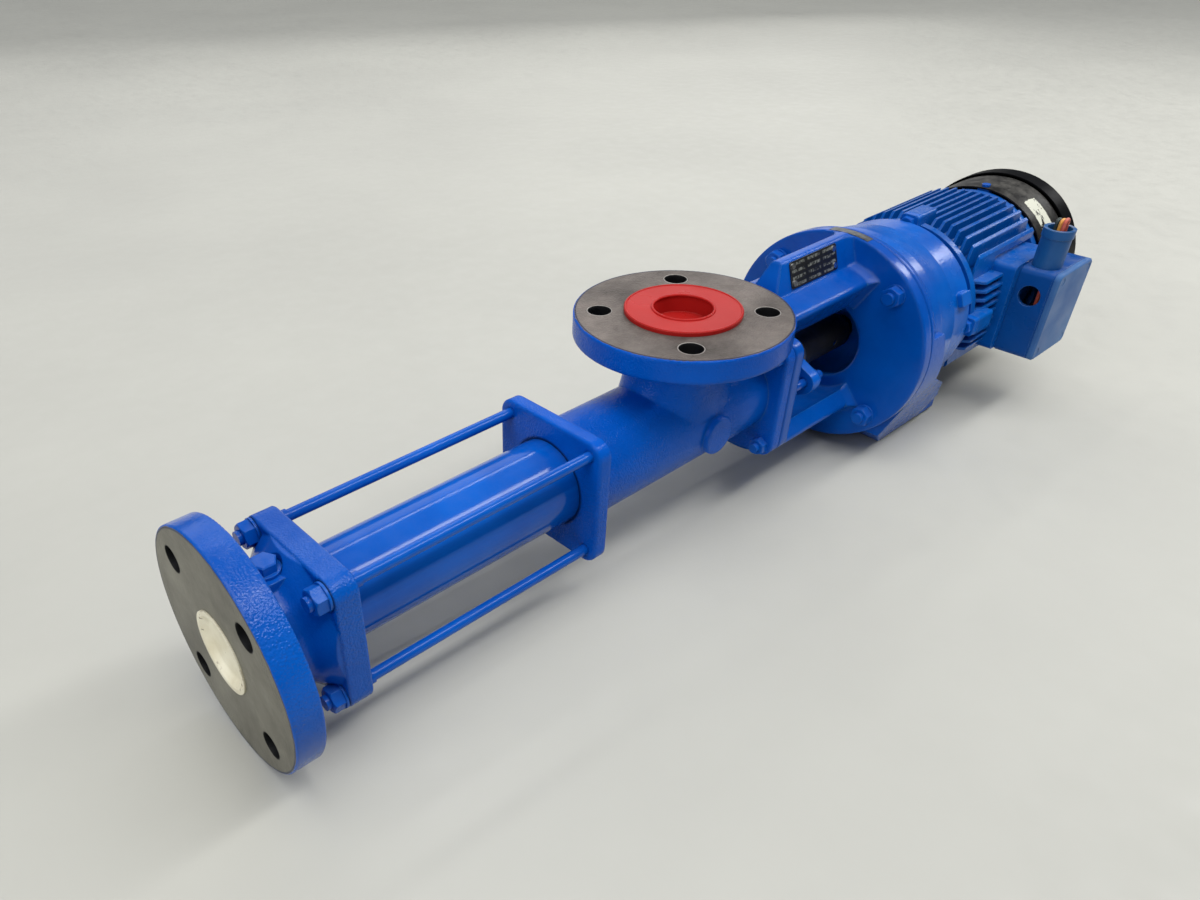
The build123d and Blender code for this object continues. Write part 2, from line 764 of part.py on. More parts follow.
def make_lantern():
    body = plate(lantern_x, lantern_x + lantern_plate_t)
    flange = bar(lantern_face, lantern_rear, lantern_r)
    body = body + fillet(flange.edges(), rim_round)
    body = body + bar(lantern_rear - 1, lantern_rear + register_t, register_r)
    x0 = lantern_x + lantern_plate_t - 1
    top_arm = along_x(sector(top_arm_out_r, top_arm_in_r, 90, top_arm_angle), x0, lantern_face + 1)
    corners = top_arm.edges().filter_by(Axis.X).group_by(lambda e: e.center().Z)[-1]
    body = body + fillet(corners, arm_round)
    low_arm = along_x(sector(bottom_arm_out_r, bottom_arm_in_r, 270, bottom_arm_angle), x0, lantern_face + 1)
    corners = low_arm.edges().filter_by(Axis.X).group_by(lambda e: e.center().Z)[0]
    body = body + fillet(corners, arm_round)
    section = make_face(Polyline((-ridge_base_w / 2, ridge_base_z), (ridge_base_w / 2, ridge_base_z),
                                 (ridge_top_w / 2, ridge_z), (-ridge_top_w / 2, ridge_z), close=True))
    ridge = along_x(section, x0, lantern_face + 1)
    lean = make_face(Polyline((x0 - 5, plate_half - 6), (x0 + ridge_slope_x, ridge_z + 2),
                              (x0 - 5, ridge_z + 2), close=True))
    ridge = ridge - extrude(Plane.XZ * lean, 60, both=True)
    top = ridge.edges().filter_by(Axis.X).group_by(lambda e: e.center().Z)[-1]
    body = body + fillet(top, ridge_round)
    body = body + arm_root(sector(top_arm_out_r, top_arm_in_r, 90, top_arm_angle))
    body = body + arm_root(sector(bottom_arm_out_r, bottom_arm_in_r, 270, bottom_arm_angle))
    ridge_root = arm_root(section) - bar(lantern_face - 2 * root_round, lantern_face, ridge_base_z)
    body = body + (ridge_root & bar(lantern_face - 2 * root_round, lantern_face + 1, lantern_r))
    body = body - bar(lantern_x - 1, lantern_x + lantern_plate_t + 1, seal_body_r + fit)
    body = body - bar(lantern_face - 1, lantern_rear + register_t + 1, lantern_mouth_r)
    body = body - bar(lantern_face + mouth_wall, lantern_rear + register_t + 1, lantern_rear_bore_r)
    for y, z in square():
        body = body - bar(lantern_x - 1, lantern_x + lantern_plate_t - 2, case_bolt_r + thread_fit, y, z)
    for y in (-gland_stud_y, gland_stud_y):
        body = body - bar(stud_x0, lantern_x + lantern_plate_t + 1, gland_stud_r + thread_fit, y, 0)
    for y, z in circle_of(motor_pcd):
        body = body - bar(lantern_face - 1, lantern_rear + 1, stud_r + rod_play, y, z)
    return body


def make_case_studs():
    x0 = case_rear - case_rear_t - case_nut_h - 4
    return group([bar(x0, lantern_x + lantern_plate_t - 2.5, case_bolt_r, y, z) for y, z in square()])


def make_case_nuts():
    x1 = case_rear - case_rear_t
    nuts = [hex_bar(x1 - case_nut_h, x1, case_nut_af, case_bolt_r + thread_fit, y, z, 15 * n)
            for n, (y, z) in enumerate(square())]
    plate_rear = lantern_x + lantern_plate_t
    for y in (-gland_stud_y, gland_stud_y):
        nuts.append(hex_bar(plate_rear, plate_rear + case_nut_h, case_nut_af, gland_stud_r + thread_fit, y, 0))
    return group(nuts)


save("lantern", make_lantern())
save("casing_studs", make_case_studs())
save("casing_nuts", make_case_nuts())


# ---------------------------------------------------------------- foot ring
def make_foot():
    ring_rear_r = motor_flange_r + 1
    body = turned(
        (foot_x, register_r + fit), (foot_x, foot_ring_r - foot_ring_lip), (foot_x + foot_ring_lip, foot_ring_r),
        (foot_x + 2 * foot_ring_lip, foot_ring_r), (motor_x, ring_rear_r), (motor_x, register_r + fit),
    )
    base_x = foot_x + foot_from_ring
    sole = Pos(0, -foot_h + foot_t / 2) * Rectangle(foot_w, foot_t)
    outline = make_hull(Circle(foot_ring_r).edges() + sole.edges())
    side = make_face(Polyline(
        (foot_x + 2 * foot_ring_lip, saddle_top), (foot_x + saddle_top_len, saddle_top),
        (foot_x + saddle_waist_len, saddle_waist_z), (foot_x + saddle_knee_len, saddle_knee_z),
        (foot_x + saddle_len, saddle_low), (foot_x + saddle_len, -foot_h), (base_x, -foot_h),
        (foot_x + 2 * foot_ring_lip, saddle_front_z), close=True))
    saddle = along_x(outline, foot_x, foot_x + saddle_len) & extrude(Plane.XZ * side, foot_w, both=True)
    base = Pos(base_x, 0, -foot_h) * Box(foot_len, foot_w, foot_t, align=(Align.MIN, Align.CENTER, Align.MIN))
    base = fillet(base.edges().filter_by(Axis.Z), foot_ring_lip)
    hollow = Pos(motor_x + foot_web, 0, -foot_h + foot_t) * Box(
        foot_len, foot_w - 2 * foot_wall, foot_h, align=(Align.MIN, Align.CENTER, Align.MIN))
    saddle = saddle - bar(foot_x - 1, motor_x + foot_len + 1, ring_rear_r) - hollow
    body = body + saddle + base
    for y, z in circle_of(motor_pcd):
        body = body - bar(foot_x - 1, motor_x + 1, stud_r + rod_play, y, z)
    for x in (base_x + foot_hole_in, base_x + foot_hole_in + foot_hole_span):
        for y in (-foot_hole_y, foot_hole_y):
            body = body - stud_z(x, y, -foot_h - 1, -foot_h + foot_t + 1, foot_hole_r)
    return body


save("support_foot", make_foot())


# ---------------------------------------------------------------- flange studs
def make_flange_studs():
    x0 = lantern_face - stud_washer_t - stud_nut_h - stud_tip
    return group([bar(x0, motor_x + stud_depth, stud_r, y, z) for y, z in circle_of(motor_pcd)])


def make_flange_nuts():
    x1 = lantern_face - stud_washer_t
    return group([hex_bar(x1 - stud_nut_h, x1, stud_nut_af, stud_r + thread_fit, y, z, 10 + 14 * n)
                  for n, (y, z) in enumerate(circle_of(motor_pcd))])


save("flange_studs", make_flange_studs())
save("flange_nuts", make_flange_nuts())
save("flange_washers", group([ring(lantern_face - stud_washer_t, lantern_face, stud_washer_r, stud_r + rod_play, y, z)
                              for y, z in circle_of(motor_pcd)]))


# ---------------------------------------------------------------- motor shields and bearings
def lug_places():
    """Centres of the four bolting lugs: both sides, top and bottom."""
    return circle_of(2 * lug_r, 4, 0)


def lug_outline():
    return Sketch() + [Pos(y, z) * RectangleRounded(lug_size, lug_size, lug_round) for y, z in lug_places()]


def make_drive_shield():
    rim_x = frame_x - shield_rim_len
    inner_x = cone_x + shield_web_t
    body = turned(
        (motor_x - register_t, lantern_rear_bore_r), (motor_x - register_t, register_r),
        (motor_x, register_r), (motor_x, motor_flange_r), (cone_x, motor_flange_r),
        (shield_x, cone_rear_r), (shield_x, shield_r), (rim_x, shield_r), (rim_x, shield_rim_r),
        (frame_x, shield_rim_r), (frame_x, shield_in_r),
        (inner_x, shield_in_r), (inner_x, bearing_r + hub_wall),
        (bearing_x + bearing_w + 1, bearing_r + hub_wall), (bearing_x + bearing_w + 1, bearing_r + bearing_fit),
        (bearing_x, bearing_r + bearing_fit), (bearing_x, motor_shaft_r + 2), (motor_x + 2, motor_shaft_r + 2),
        (motor_x + 2, lantern_rear_bore_r),
        rounds={3: 1.0, 5: 2.0, 7: 1.5},
    )
    for y, z in circle_of(motor_pcd):
        body = body - bar(motor_x - 1, motor_x + stud_depth + 1, stud_r + thread_fit, y, z)
    boss = Pos(shield_x + ear_x_from_shield, 0, shield_r - 2) * Box(
        ear_len, ear_w, ear_h + 2, align=(Align.MIN, Align.CENTER, Align.MIN))
    body = body + Rot(ear_angle, 0, 0) * fillet(boss.edges().filter_by(Axis.Z), ear_h / 2)
    ears = along_x(lug_outline(), frame_x - lug_ear, frame_x)
    body = body + (ears - bar(frame_x - 2 * lug_ear, frame_x + 1, shield_in_r + 1))
    for y, z in lug_places():
        body = body - bar(frame_x - 2 * lug_ear, frame_x + 1, shield_bolt_r + rod_play, y, z)
    return body


def make_rear_shield():
    """Rear shield: disc with the bearing's housing inside and a pad under each cowl screw."""
    hub_x = rear_bearing_x - 1
    rear = frame_rear + rear_shield_t
    body = ring(frame_rear, rear, rear_shield_r, fan_seat_r + 3)
    body = body + ring(hub_x, frame_rear + 1, bearing_r + hub_wall, bearing_r + bearing_fit)
    body = body - bar(hub_x - 1, rear_bearing_x + bearing_w, bearing_r + bearing_fit)
    body = body - bar(hub_x - 1, rear_bearing_x + bearing_w + 4, bearing_bore_r + 1)
    inside = cowl_r - cowl_wall - fit
    pad = Pos(cowl_screw_x - cowl_pad / 3, 0, rear_shield_r - 1) * Box(
        rear - cowl_screw_x + cowl_pad / 3, cowl_pad, cowl_pad, align=(Align.MIN, Align.CENTER, Align.MIN))
    hole = stud_z(cowl_screw_x, 0, rear_shield_r - 6, inside + 1, cowl_screw_r + thread_fit)
    rim = bar(frame_rear - 1, rear + 1, inside)
    for angle in cowl_screw_angles:
        body = body + ((Rot(angle, 0, 0) * pad) & rim) - Rot(angle, 0, 0) * hole
    return body


def race(x0, r_out, r_in):
    """Bearing ring with the groove for its balls."""
    section = Pos(x0 + bearing_w / 2, (r_out + r_in) / 2) * Rectangle(bearing_w, r_out - r_in)
    groove = Pos(x0 + bearing_w / 2, ball_pitch_r) * Circle(ball_r + running)
    return revolve(section - groove, Axis.X)


def make_balls():
    balls = []
    for x0 in (bearing_x, rear_bearing_x):
        for y, z in circle_of(2 * ball_pitch_r, ball_count, 0):
            balls.append(Pos(x0 + bearing_w / 2, y, z) * Sphere(ball_r))
    return group(balls)


save("motor_drive_shield", make_drive_shield())
save("motor_rear_shield", make_rear_shield())
save("bearing_outer_rings", group([race(x, bearing_r, ball_pitch_r + race_open) for x in (bearing_x, rear_bearing_x)]))
save("bearing_inner_rings", group([race(x, ball_pitch_r - race_open, bearing_bore_r + bearing_fit)
                                   for x in (bearing_x, rear_bearing_x)]))
save("bearing_balls", make_balls())


# ---------------------------------------------------------------- motor frame and windings
def make_fin(y):
    """One upright fin, rooted in the frame at its own height, its front corner sloped."""
    root = math.sqrt((frame_r - frame_wall / 2) ** 2 - (abs(y) + fin_t / 2) ** 2)
    length = frame_len - 2 * fin_start
    side = make_face(Polyline(
        (0, root - fin_root), (0, root + fin_root), (fin_lead, fin_reach), (length - fin_trail, fin_reach),
        (length, root + fin_root), (length, root - fin_root), close=True))
    return Pos(frame_x + fin_start, y, 0) * extrude(Plane.XZ * side, fin_t / 2, both=True)


def make_fins():
    """Upright fins over and under the frame and level fins on its sides, in a rounded square."""
    fins = []
    for count, turns in ((fin_count, (0, 180)), (side_fin_count, (90, -90))):
        for number in range(count):
            fin = make_fin((number - (count - 1) / 2) * fin_pitch)
            fins.extend(Rot(turn, 0, 0) * fin for turn in turns)
    envelope = RectangleRounded(2 * fin_reach, 2 * fin_reach, fin_corner) - Circle(frame_r - frame_wall / 2)
    return (Part() + fins) & along_x(envelope, frame_x, frame_rear)


def make_frame():
    body = ring(frame_x, frame_rear, frame_r, frame_r - frame_wall)
    body = body + ring(frame_x, frame_x + frame_rim_len, frame_rim_r, frame_r - 1)
    body = body + ring(frame_rear - frame_rim_len, frame_rear, frame_rim_r, frame_r - 1)
    saddle = Pos(saddle_x, -box_back_y, saddle_bottom) * Box(
        saddle_block_len, box_back_y - frame_r / 2, saddle_h, align=Align.MIN)
    saddle = fillet(saddle.edges().filter_by(Axis.Y), saddle_round)
    room = Pos(saddle_x, -box_front_y, saddle_bottom - 4) * Box(
        frame_len, box_front_y - frame_r / 2, saddle_h + 8, align=Align.MIN)
    body = body + (make_fins() - room) + (saddle - bar(frame_x, frame_rear, frame_r - 1))
    lugs = lug_outline()
    body = body + (along_x(lugs, frame_x, frame_x + lug_len) - bar(frame_x - 1, frame_rear + 1, frame_r - 1))
    body = body - Pos(saddle_x, -box_front_y, saddle_bottom) * Box(
        frame_len, box_front_y - box_back_y, saddle_h, align=Align.MIN)
    for y, z in lug_places():
        body = body - bar(frame_x - 1, frame_x + shield_bolt_len + 1, shield_bolt_r + thread_fit, y, z)
    return body - stud_y(box_x + box_len / 2, box_bottom + box_h / 2, -box_back_y - 1, -frame_r + 8, wire_hole_r)


def make_shield_bolts():
    bolts = []
    head_x = frame_x - lug_ear - shield_bolt_h
    for number, (y, z) in enumerate(lug_places()):
        head = hex_bar(head_x, head_x + shield_bolt_h, shield_bolt_af, 0, y, z, 9 * number)
        bolts.append(head + bar(head_x + 1, frame_x + shield_bolt_len, shield_bolt_r, y, z))
    return group(bolts)


core_x = frame_x + core_from_frame
save("motor_frame", make_frame())
save("shield_bolts", make_shield_bolts())
save("stator_core", ring(core_x, core_x + core_len, frame_r - frame_wall - fit, core_in_r))
save("stator_windings", group([ring(x, x + winding_len, frame_r - frame_wall - 4, core_in_r + 4)
                               for x in (core_x - winding_len - 0.1, core_x + core_len + 0.1)]))
save("cage_rotor", ring(core_x - 8, core_x + core_len + 8, core_in_r - air_gap, core_seat_r + bearing_fit))


# ---------------------------------------------------------------- fan, cowl and canopy
def make_fan():
    hub = ring(fan_x, fan_x + fan_len, fan_hub_r, fan_seat_r + bearing_fit)
    back = ring(fan_x, fan_x + 3, fan_r - 8, fan_hub_r - 1)
    blade = Pos(fan_x, -fan_blade_t / 2, fan_hub_r - 1) * Box(
        fan_len - 4, fan_blade_t, fan_r - fan_hub_r + 1, align=Align.MIN)
    blades = [Rot(360 / fan_blades * number, 0, 0) * blade for number in range(fan_blades)]
    return Part() + [hub, back] + blades


def make_cowl():
    body = turned(
        (cowl_x, cowl_r - cowl_wall), (cowl_x, cowl_r), (cowl_rear, cowl_r), (cowl_rear, 0),
        (cowl_rear - cowl_wall, 0), (cowl_rear - cowl_wall, cowl_r - cowl_wall),
        rounds={2: cowl_round, 5: cowl_round - cowl_wall},
    )
    slots = Sketch()
    for number in range(grille_rings):
        r_in = grille_hub_r + number * (grille_gap + grille_bar)
        slots = slots + (Circle(r_in + grille_gap) - Circle(r_in))
    for number in range(grille_spokes):
        slots = slots - Rot(0, 0, 45 + 90 * number) * Pos(grille_hub_r * 3, 0) * Rectangle(
            grille_hub_r * 6, grille_bar)
    body = body - along_x(slots, cowl_rear - cowl_wall - 1, cowl_rear + 1)
    for y, z in circle_of(2 * post_circle_r):
        body = body - bar(cowl_rear - 3, cowl_rear + 1, cowl_screw_r + fit, y, z)
    for angle in cowl_screw_angles:
        body = body - Rot(angle, 0, 0) * stud_z(cowl_screw_x, 0, cowl_r - 6, cowl_r + 2, cowl_screw_r + fit)
    return body


def make_cowl_screws():
    screws = []
    for angle in cowl_screw_angles:
        shank = stud_z(cowl_screw_x, 0, rear_shield_r - 5, cowl_r, cowl_screw_r)
        head = stud_z(cowl_screw_x, 0, cowl_r, cowl_r + 2.5, 2 * cowl_screw_r)
        screws.append(Rot(angle, 0, 0) * (shank + head))
    return group(screws)


def make_canopy():
    x0 = cowl_rear + canopy_gap
    return turned(
        (x0 - canopy_depth + canopy_t, canopy_r - canopy_t), (x0 - canopy_depth + canopy_t, canopy_r),
        (x0 + canopy_t, canopy_r), (x0 + canopy_t, 0), (x0, 0), (x0, canopy_r - canopy_t),
        rounds={2: 6.0, 5: 4.0},
    )


def make_posts():
    posts = []
    for y, z in circle_of(2 * post_circle_r):
        posts.append(bar(cowl_rear, cowl_rear + canopy_gap, post_r, y, z)
                     + bar(cowl_rear - 3, cowl_rear + 1, cowl_screw_r, y, z))
    return group(posts)


save("cooling_fan", make_fan())
save("fan_cowl", make_cowl())
save("cowl_screws", make_cowl_screws())
save("rain_canopy", make_canopy())
save("canopy_posts", make_posts())


# ---------------------------------------------------------------- terminal box
def box_outline(grow=0.0):
    """Side view of the box with its round corners."""
    size = RectangleRounded(box_len + 2 * grow, box_h + 2 * grow, box_round + grow)
    return Pos(box_x + box_len / 2, box_bottom + box_h / 2) * size


def slab_y(sketch, y0, y1):
    """Prism of an X-Z sketch from y0 towards -Y, both given as distances from the axis."""
    return extrude(Pos(0, -y0, 0) * (Plane.XZ * sketch), y1 - y0)


def lid_screw_places():
    xs = (box_x + lid_screw_in, box_x + box_len - lid_screw_in)
    zs = (box_bottom + lid_screw_in, box_bottom + box_h - lid_screw_in)
    return [(x, z) for x in xs for z in zs]


def make_box():
    body = slab_y(box_outline(), box_back_y, box_front_y)
    body = body - slab_y(box_outline(-box_wall), box_back_y + box_wall, box_front_y + 1)
    for x, z in lid_screw_places():
        body = body + stud_y(x, z, -box_front_y, -box_back_y - 1, lid_screw_r + 2.5)
        body = body - stud_y(x, z, -box_front_y - 1, -box_front_y + 12, lid_screw_r + thread_fit)
    body = body - bar(box_x - 1, box_x + box_wall + 1, entry_r, -entry_y, entry_z)
    top = box_bottom + box_h
    body = body - stud_z(spout_x, -spout_y, top - box_wall - 1, top + 1, spout_r - spout_wall)
    return body - stud_y(box_x + box_len / 2, box_bottom + box_h / 2, -box_back_y - 5, -box_back_y + 1, wire_hole_r)


def make_gasket():
    frame = slab_y(box_outline() - box_outline(-box_wall + 1), box_front_y, box_front_y + gasket_t)
    for x, z in lid_screw_places():
        frame = frame - stud_y(x, z, -box_front_y - gasket_t - 1, -box_front_y + 1, lid_screw_r + fit)
    return frame


def make_lid():
    y0 = box_front_y + gasket_t
    body = slab_y(box_outline(), y0, y0 + lid_t)
    body = chamfer(body.faces().sort_by(Axis.Y)[0].edges(), 1.5)
    for x, z in lid_screw_places():
        body = body - stud_y(x, z, -y0 - lid_t - 1, -y0 + 1, lid_screw_r + fit)
        body = body - stud_y(x, z, -y0 - lid_t - 1, -y0 - lid_t + 2, 2 * lid_screw_r)
    return body


def make_lid_screws():
    y1 = box_front_y + gasket_t + lid_t
    return group([stud_y(x, z, -y1 + 0.3, -y1 + 2, 2 * lid_screw_r - 0.1)
                  + stud_y(x, z, -y1 + 1, -box_front_y + 10, lid_screw_r) for x, z in lid_screw_places()])


def make_spout():
    top = box_bottom + box_h
    tube = stud_z(spout_x, -spout_y, top, top + spout_h, spout_r)
    tube = tube + stud_z(spout_x, -spout_y, top + spout_h - spout_collar_h, top + spout_h, spout_collar_r)
    return tube - stud_z(spout_x, -spout_y, top - 1, top + spout_h + 1, spout_r - spout_wall)


def make_board():
    board = Pos(board_x, -box_back_y - box_wall, board_z) * Box(
        board_len, board_t, board_w, align=(Align.MIN, Align.MAX, Align.MIN))
    return board


def make_terminals():
    studs = []
    for column in range(3):
        for row in terminal_rows:
            x = board_x + board_len * (column + 0.5) / 3
            z = board_z + board_w * row
            y0 = -box_back_y - box_wall - board_t - terminal_h
            studs.append(stud_y(x, z, y0, y0 + terminal_h, terminal_r))
    return group(studs)


def make_lead(column, shift_x, shift_y, rise):
    """One supply lead: from its terminal up the spout, over in a level bow and back into it."""
    x0 = board_x + board_len * (column + 0.5) / 3
    y0 = -box_back_y - box_wall - board_t - terminal_h / 2
    z0 = board_z + board_w * terminal_rows[1] + terminal_r + fit
    top = box_bottom + box_h + spout_h
    near = spout_x + shift_x - lead_bow
    away = spout_x + shift_x + lead_bow
    y = -spout_y + shift_y
    path = [(x0, y0, z0), (x0, y0, z0 + lead_bow), (near, y, top - 0.8 * spout_h), (near, y, top + rise),
            (away, y, top + rise), (away, y, top - lead_tuck)]
    line = FilletPolyline(*path, radius=corner_radii(path))
    profile = Plane(origin=line @ 0, z_dir=line % 0) * Circle(lead_r)
    return sweep(profile, path=line)


def corner_radii(path):
    """Arc at each corner, as large as the runs beside it allow."""
    points = [Vector(*p) for p in path]
    radii = []
    for before, here, after in zip(points, points[1:], points[2:]):
        turn = (here - before).get_angle(after - here)
        shorter = min((here - before).length, (after - here).length)
        radii.append(0.45 * shorter / math.tan(math.radians(turn) / 2))
    return radii


board_x = box_x + box_len / 2 - board_len / 2
board_z = box_bottom + box_h / 2 - board_drop
save("terminal_box", make_box())
save("box_gasket", make_gasket())
save("terminal_box_lid", make_lid())
save("lid_screws", make_lid_screws())
save("cable_spout", make_spout())
save("terminal_board", make_board())
save("terminal_studs", make_terminals())
save("lead_red", make_lead(0, -2.6, -4.2, 9.0))
save("lead_yellow", make_lead(1, 0.4, -0.2, 7.0))
save("lead_black", make_lead(2, 2.8, 4.0, 6.0))


# ---------------------------------------------------------------- caps and nameplate
def make_branch_cap():
    z0 = branch_face_z
    cup_r = port_r - free
    rim = extrude(Pos(branch_x, 0, z0) * Circle(cap_rim_r), cap_rim_t)
    cup = extrude(Pos(branch_x, 0, z0 - cap_depth) * Circle(cup_r), cap_depth + 1)
    body = rim + cup
    hollow = extrude(Pos(branch_x, 0, z0 - cap_depth + cap_wall) * Circle(cup_r - cap_wall), cap_depth + 9)
    body = body - hollow
    return body


def make_end_plug():
    cup_r = port_r - free
    return turned(
        (-plug_rim_t, plug_rim_r), (0, plug_rim_r), (0, cup_r), (end_plug_depth, cup_r),
        (end_plug_depth, cup_r - end_plug_wall), (end_plug_dish + end_plug_wall, cup_r - end_plug_wall),
        (end_plug_dish + end_plug_wall, 0), (end_plug_dish, 0), (end_plug_dish - 1, cup_r - 3 * end_plug_wall),
        (-plug_rim_t, cup_r - end_plug_wall / 2), rounds={8: 3.0},
    )


def plate_face():
    """Plane of the ridge's side that carries the nameplate."""
    run = (ridge_base_w - ridge_top_w) / 2
    rise = ridge_z - ridge_base_z
    y = -(ridge_base_w / 2 - run * nameplate_up)
    z = ridge_base_z + rise * nameplate_up
    return Plane(origin=(nameplate_x, y, z), x_dir=(1, 0, 0), z_dir=(0, -rise, run))


def rivet_places():
    x = nameplate_len / 2 - 4
    y = nameplate_w / 2 - 4
    return [(-x, -y), (x, -y), (x, y), (-x, y)]


def make_nameplate():
    face = plate_face()
    blank = RectangleRounded(nameplate_len, nameplate_w, 2)
    for x, y in rivet_places():
        blank = blank - Pos(x, y) * Circle(rivet_r + 0.05)
    return extrude(face * blank, nameplate_t)


def make_rivets():
    face = plate_face()
    rivets = []
    for x, y in rivet_places():
        rivets.append(extrude(face * Pos(x, y) * Circle(rivet_r), nameplate_t)
                      + extrude(face.offset(nameplate_t) * Pos(x, y) * Circle(rivet_r + 1), 0.8))
    return group(rivets)


save("branch_cap", make_branch_cap())
save("end_plug", make_end_plug())
save("nameplate", make_nameplate())
save("nameplate_rivets", make_rivets())
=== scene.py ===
import json
import math

import bmesh
import bpy
from mathutils import Matrix, Vector


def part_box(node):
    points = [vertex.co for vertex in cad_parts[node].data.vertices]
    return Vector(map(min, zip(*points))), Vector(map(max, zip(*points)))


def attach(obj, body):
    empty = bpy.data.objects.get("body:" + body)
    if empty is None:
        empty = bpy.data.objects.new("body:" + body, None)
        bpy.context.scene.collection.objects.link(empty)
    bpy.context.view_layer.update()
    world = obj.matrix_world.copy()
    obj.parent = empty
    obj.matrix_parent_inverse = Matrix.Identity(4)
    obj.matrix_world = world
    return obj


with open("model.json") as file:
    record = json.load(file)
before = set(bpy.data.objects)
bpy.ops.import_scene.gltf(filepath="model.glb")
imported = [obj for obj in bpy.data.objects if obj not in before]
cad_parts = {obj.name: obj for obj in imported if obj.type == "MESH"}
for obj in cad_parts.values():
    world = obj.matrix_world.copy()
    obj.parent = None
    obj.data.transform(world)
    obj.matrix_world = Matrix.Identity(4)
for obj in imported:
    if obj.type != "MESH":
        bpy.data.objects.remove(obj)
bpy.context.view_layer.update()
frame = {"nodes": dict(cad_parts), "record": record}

# ---------------------------------------------------------------- end cover
# Cast iron end cover with the discharge flange, a neck and the square plate the tie rods pull on.
# Sand cast, faced and drilled, then painted thickly in blue, all but the flat face of the flange,
# which is bare and has gone grey-brown.


def add(tree, kind, sockets=None, **settings):
    """Adds a shader node; sockets holds values or links for its inputs."""
    node = tree.nodes.new("ShaderNode" + kind)
    for key, value in settings.items():
        setattr(node, key, value)
    for key, value in (sockets or {}).items():
        feed(tree, node.inputs[key], value)
    return node


def feed(tree, socket, value):
    """Links or sets one input."""
    if isinstance(value, bpy.types.NodeSocket):
        tree.links.new(value, socket)
    else:
        socket.default_value = value


def calc(tree, operation, a, b=0.0, c=0.0):
    """One math node, as its output."""
    return add(tree, "Math", {0: a, 1: b, 2: c}, operation=operation).outputs[0]


def between(tree, value, low, high, soft=0.0004):
    """1 where the value lies from low to high, with soft ends."""
    rising = add(tree, "MapRange", {"Value": value, "From Min": low - soft, "From Max": low + soft})
    falling = add(tree, "MapRange", {"Value": value, "From Min": high + soft, "From Max": high - soft})
    return calc(tree, "MULTIPLY", rising.outputs[0], falling.outputs[0])


def new_group(name, wanted, given):
    """Empty shader node group with named float or colour sockets."""
    tree = bpy.data.node_groups.new(name, "ShaderNodeTree")
    for label, kind, default in wanted:
        socket = tree.interface.new_socket(label, in_out="INPUT", socket_type="NodeSocket" + kind)
        socket.default_value = default
    for label, kind in given:
        tree.interface.new_socket(label, in_out="OUTPUT", socket_type="NodeSocket" + kind)
    return tree, tree.nodes.new("NodeGroupInput"), tree.nodes.new("NodeGroupOutput")


def make_edge_group():
    """Rounded normal of every edge, and a mask of the worn outer edges, broken up by noise."""
    tree, source, sink = new_group("rounded_edges", [("Radius", "Float", 0.001), ("Amount", "Float", 0.5)],
                                   [("Normal", "Vector"), ("Mask", "Float")])
    bevel = add(tree, "Bevel", {"Radius": source.outputs["Radius"]}, samples=6)
    tree.links.new(bevel.outputs[0], sink.inputs["Normal"])
    meet = add(tree, "VectorMath", {0: bevel.outputs[0], 1: add(tree, "NewGeometry").outputs["Normal"]},
               operation="DOT_PRODUCT")
    turned = calc(tree, "SUBTRACT", 1.0, meet.outputs["Value"])
    coords = add(tree, "TexCoord").outputs["Object"]
    breakup = add(tree, "TexNoise", {"Vector": coords, "Scale": 160.0, "Detail": 5.0, "Roughness": 0.65})
    ragged = calc(tree, "MULTIPLY", turned, calc(tree, "MULTIPLY", breakup.outputs["Fac"], 2.0))
    limit = calc(tree, "SUBTRACT", 0.30, calc(tree, "MULTIPLY", source.outputs["Amount"], 0.25))
    fully = calc(tree, "ADD", limit, 0.05)
    mask = add(tree, "MapRange", {"Value": ragged, "From Min": limit, "From Max": fully})
    tree.links.new(mask.outputs[0], sink.inputs["Mask"])
    return tree


def make_skin_group():
    """Height of the surface: slow casting waves and patches of fine beads in thick paint."""
    tree, source, sink = new_group(
        "casting_skin", [("Waves", "Float", 0.4), ("Beads", "Float", 0.5), ("Bead Scale", "Float", 380.0)],
        [("Height", "Float")])
    coords = add(tree, "TexCoord").outputs["Object"]
    slow = add(tree, "TexNoise", {"Vector": coords, "Scale": 55.0, "Detail": 3.0, "Roughness": 0.5})
    bead_scale = source.outputs["Bead Scale"]
    fine = add(tree, "TexNoise", {"Vector": coords, "Scale": bead_scale, "Detail": 1.0})
    cells = add(tree, "TexVoronoi", {"Vector": coords, "Scale": bead_scale, "Smoothness": 0.7},
                feature="SMOOTH_F1")
    beads = add(tree, "Mix", {"Factor": 0.45, 2: calc(tree, "SUBTRACT", 0.9, cells.outputs["Distance"]),
                              3: fine.outputs["Fac"]})
    patchy = add(tree, "TexNoise", {"Vector": coords, "Scale": 20.0, "Detail": 3.0})
    strong = add(tree, "MapRange", {"Value": patchy.outputs["Fac"], "From Min": 0.34, "From Max": 0.58,
                                    "To Min": 0.20, "To Max": 1.0})
    bead_part = calc(tree, "MULTIPLY", beads.outputs[0],
                     calc(tree, "MULTIPLY", source.outputs["Beads"], strong.outputs[0]))
    height = calc(tree, "MULTIPLY_ADD", slow.outputs["Fac"], source.outputs["Waves"], bead_part)
    tree.links.new(height, sink.inputs["Height"])
    return tree


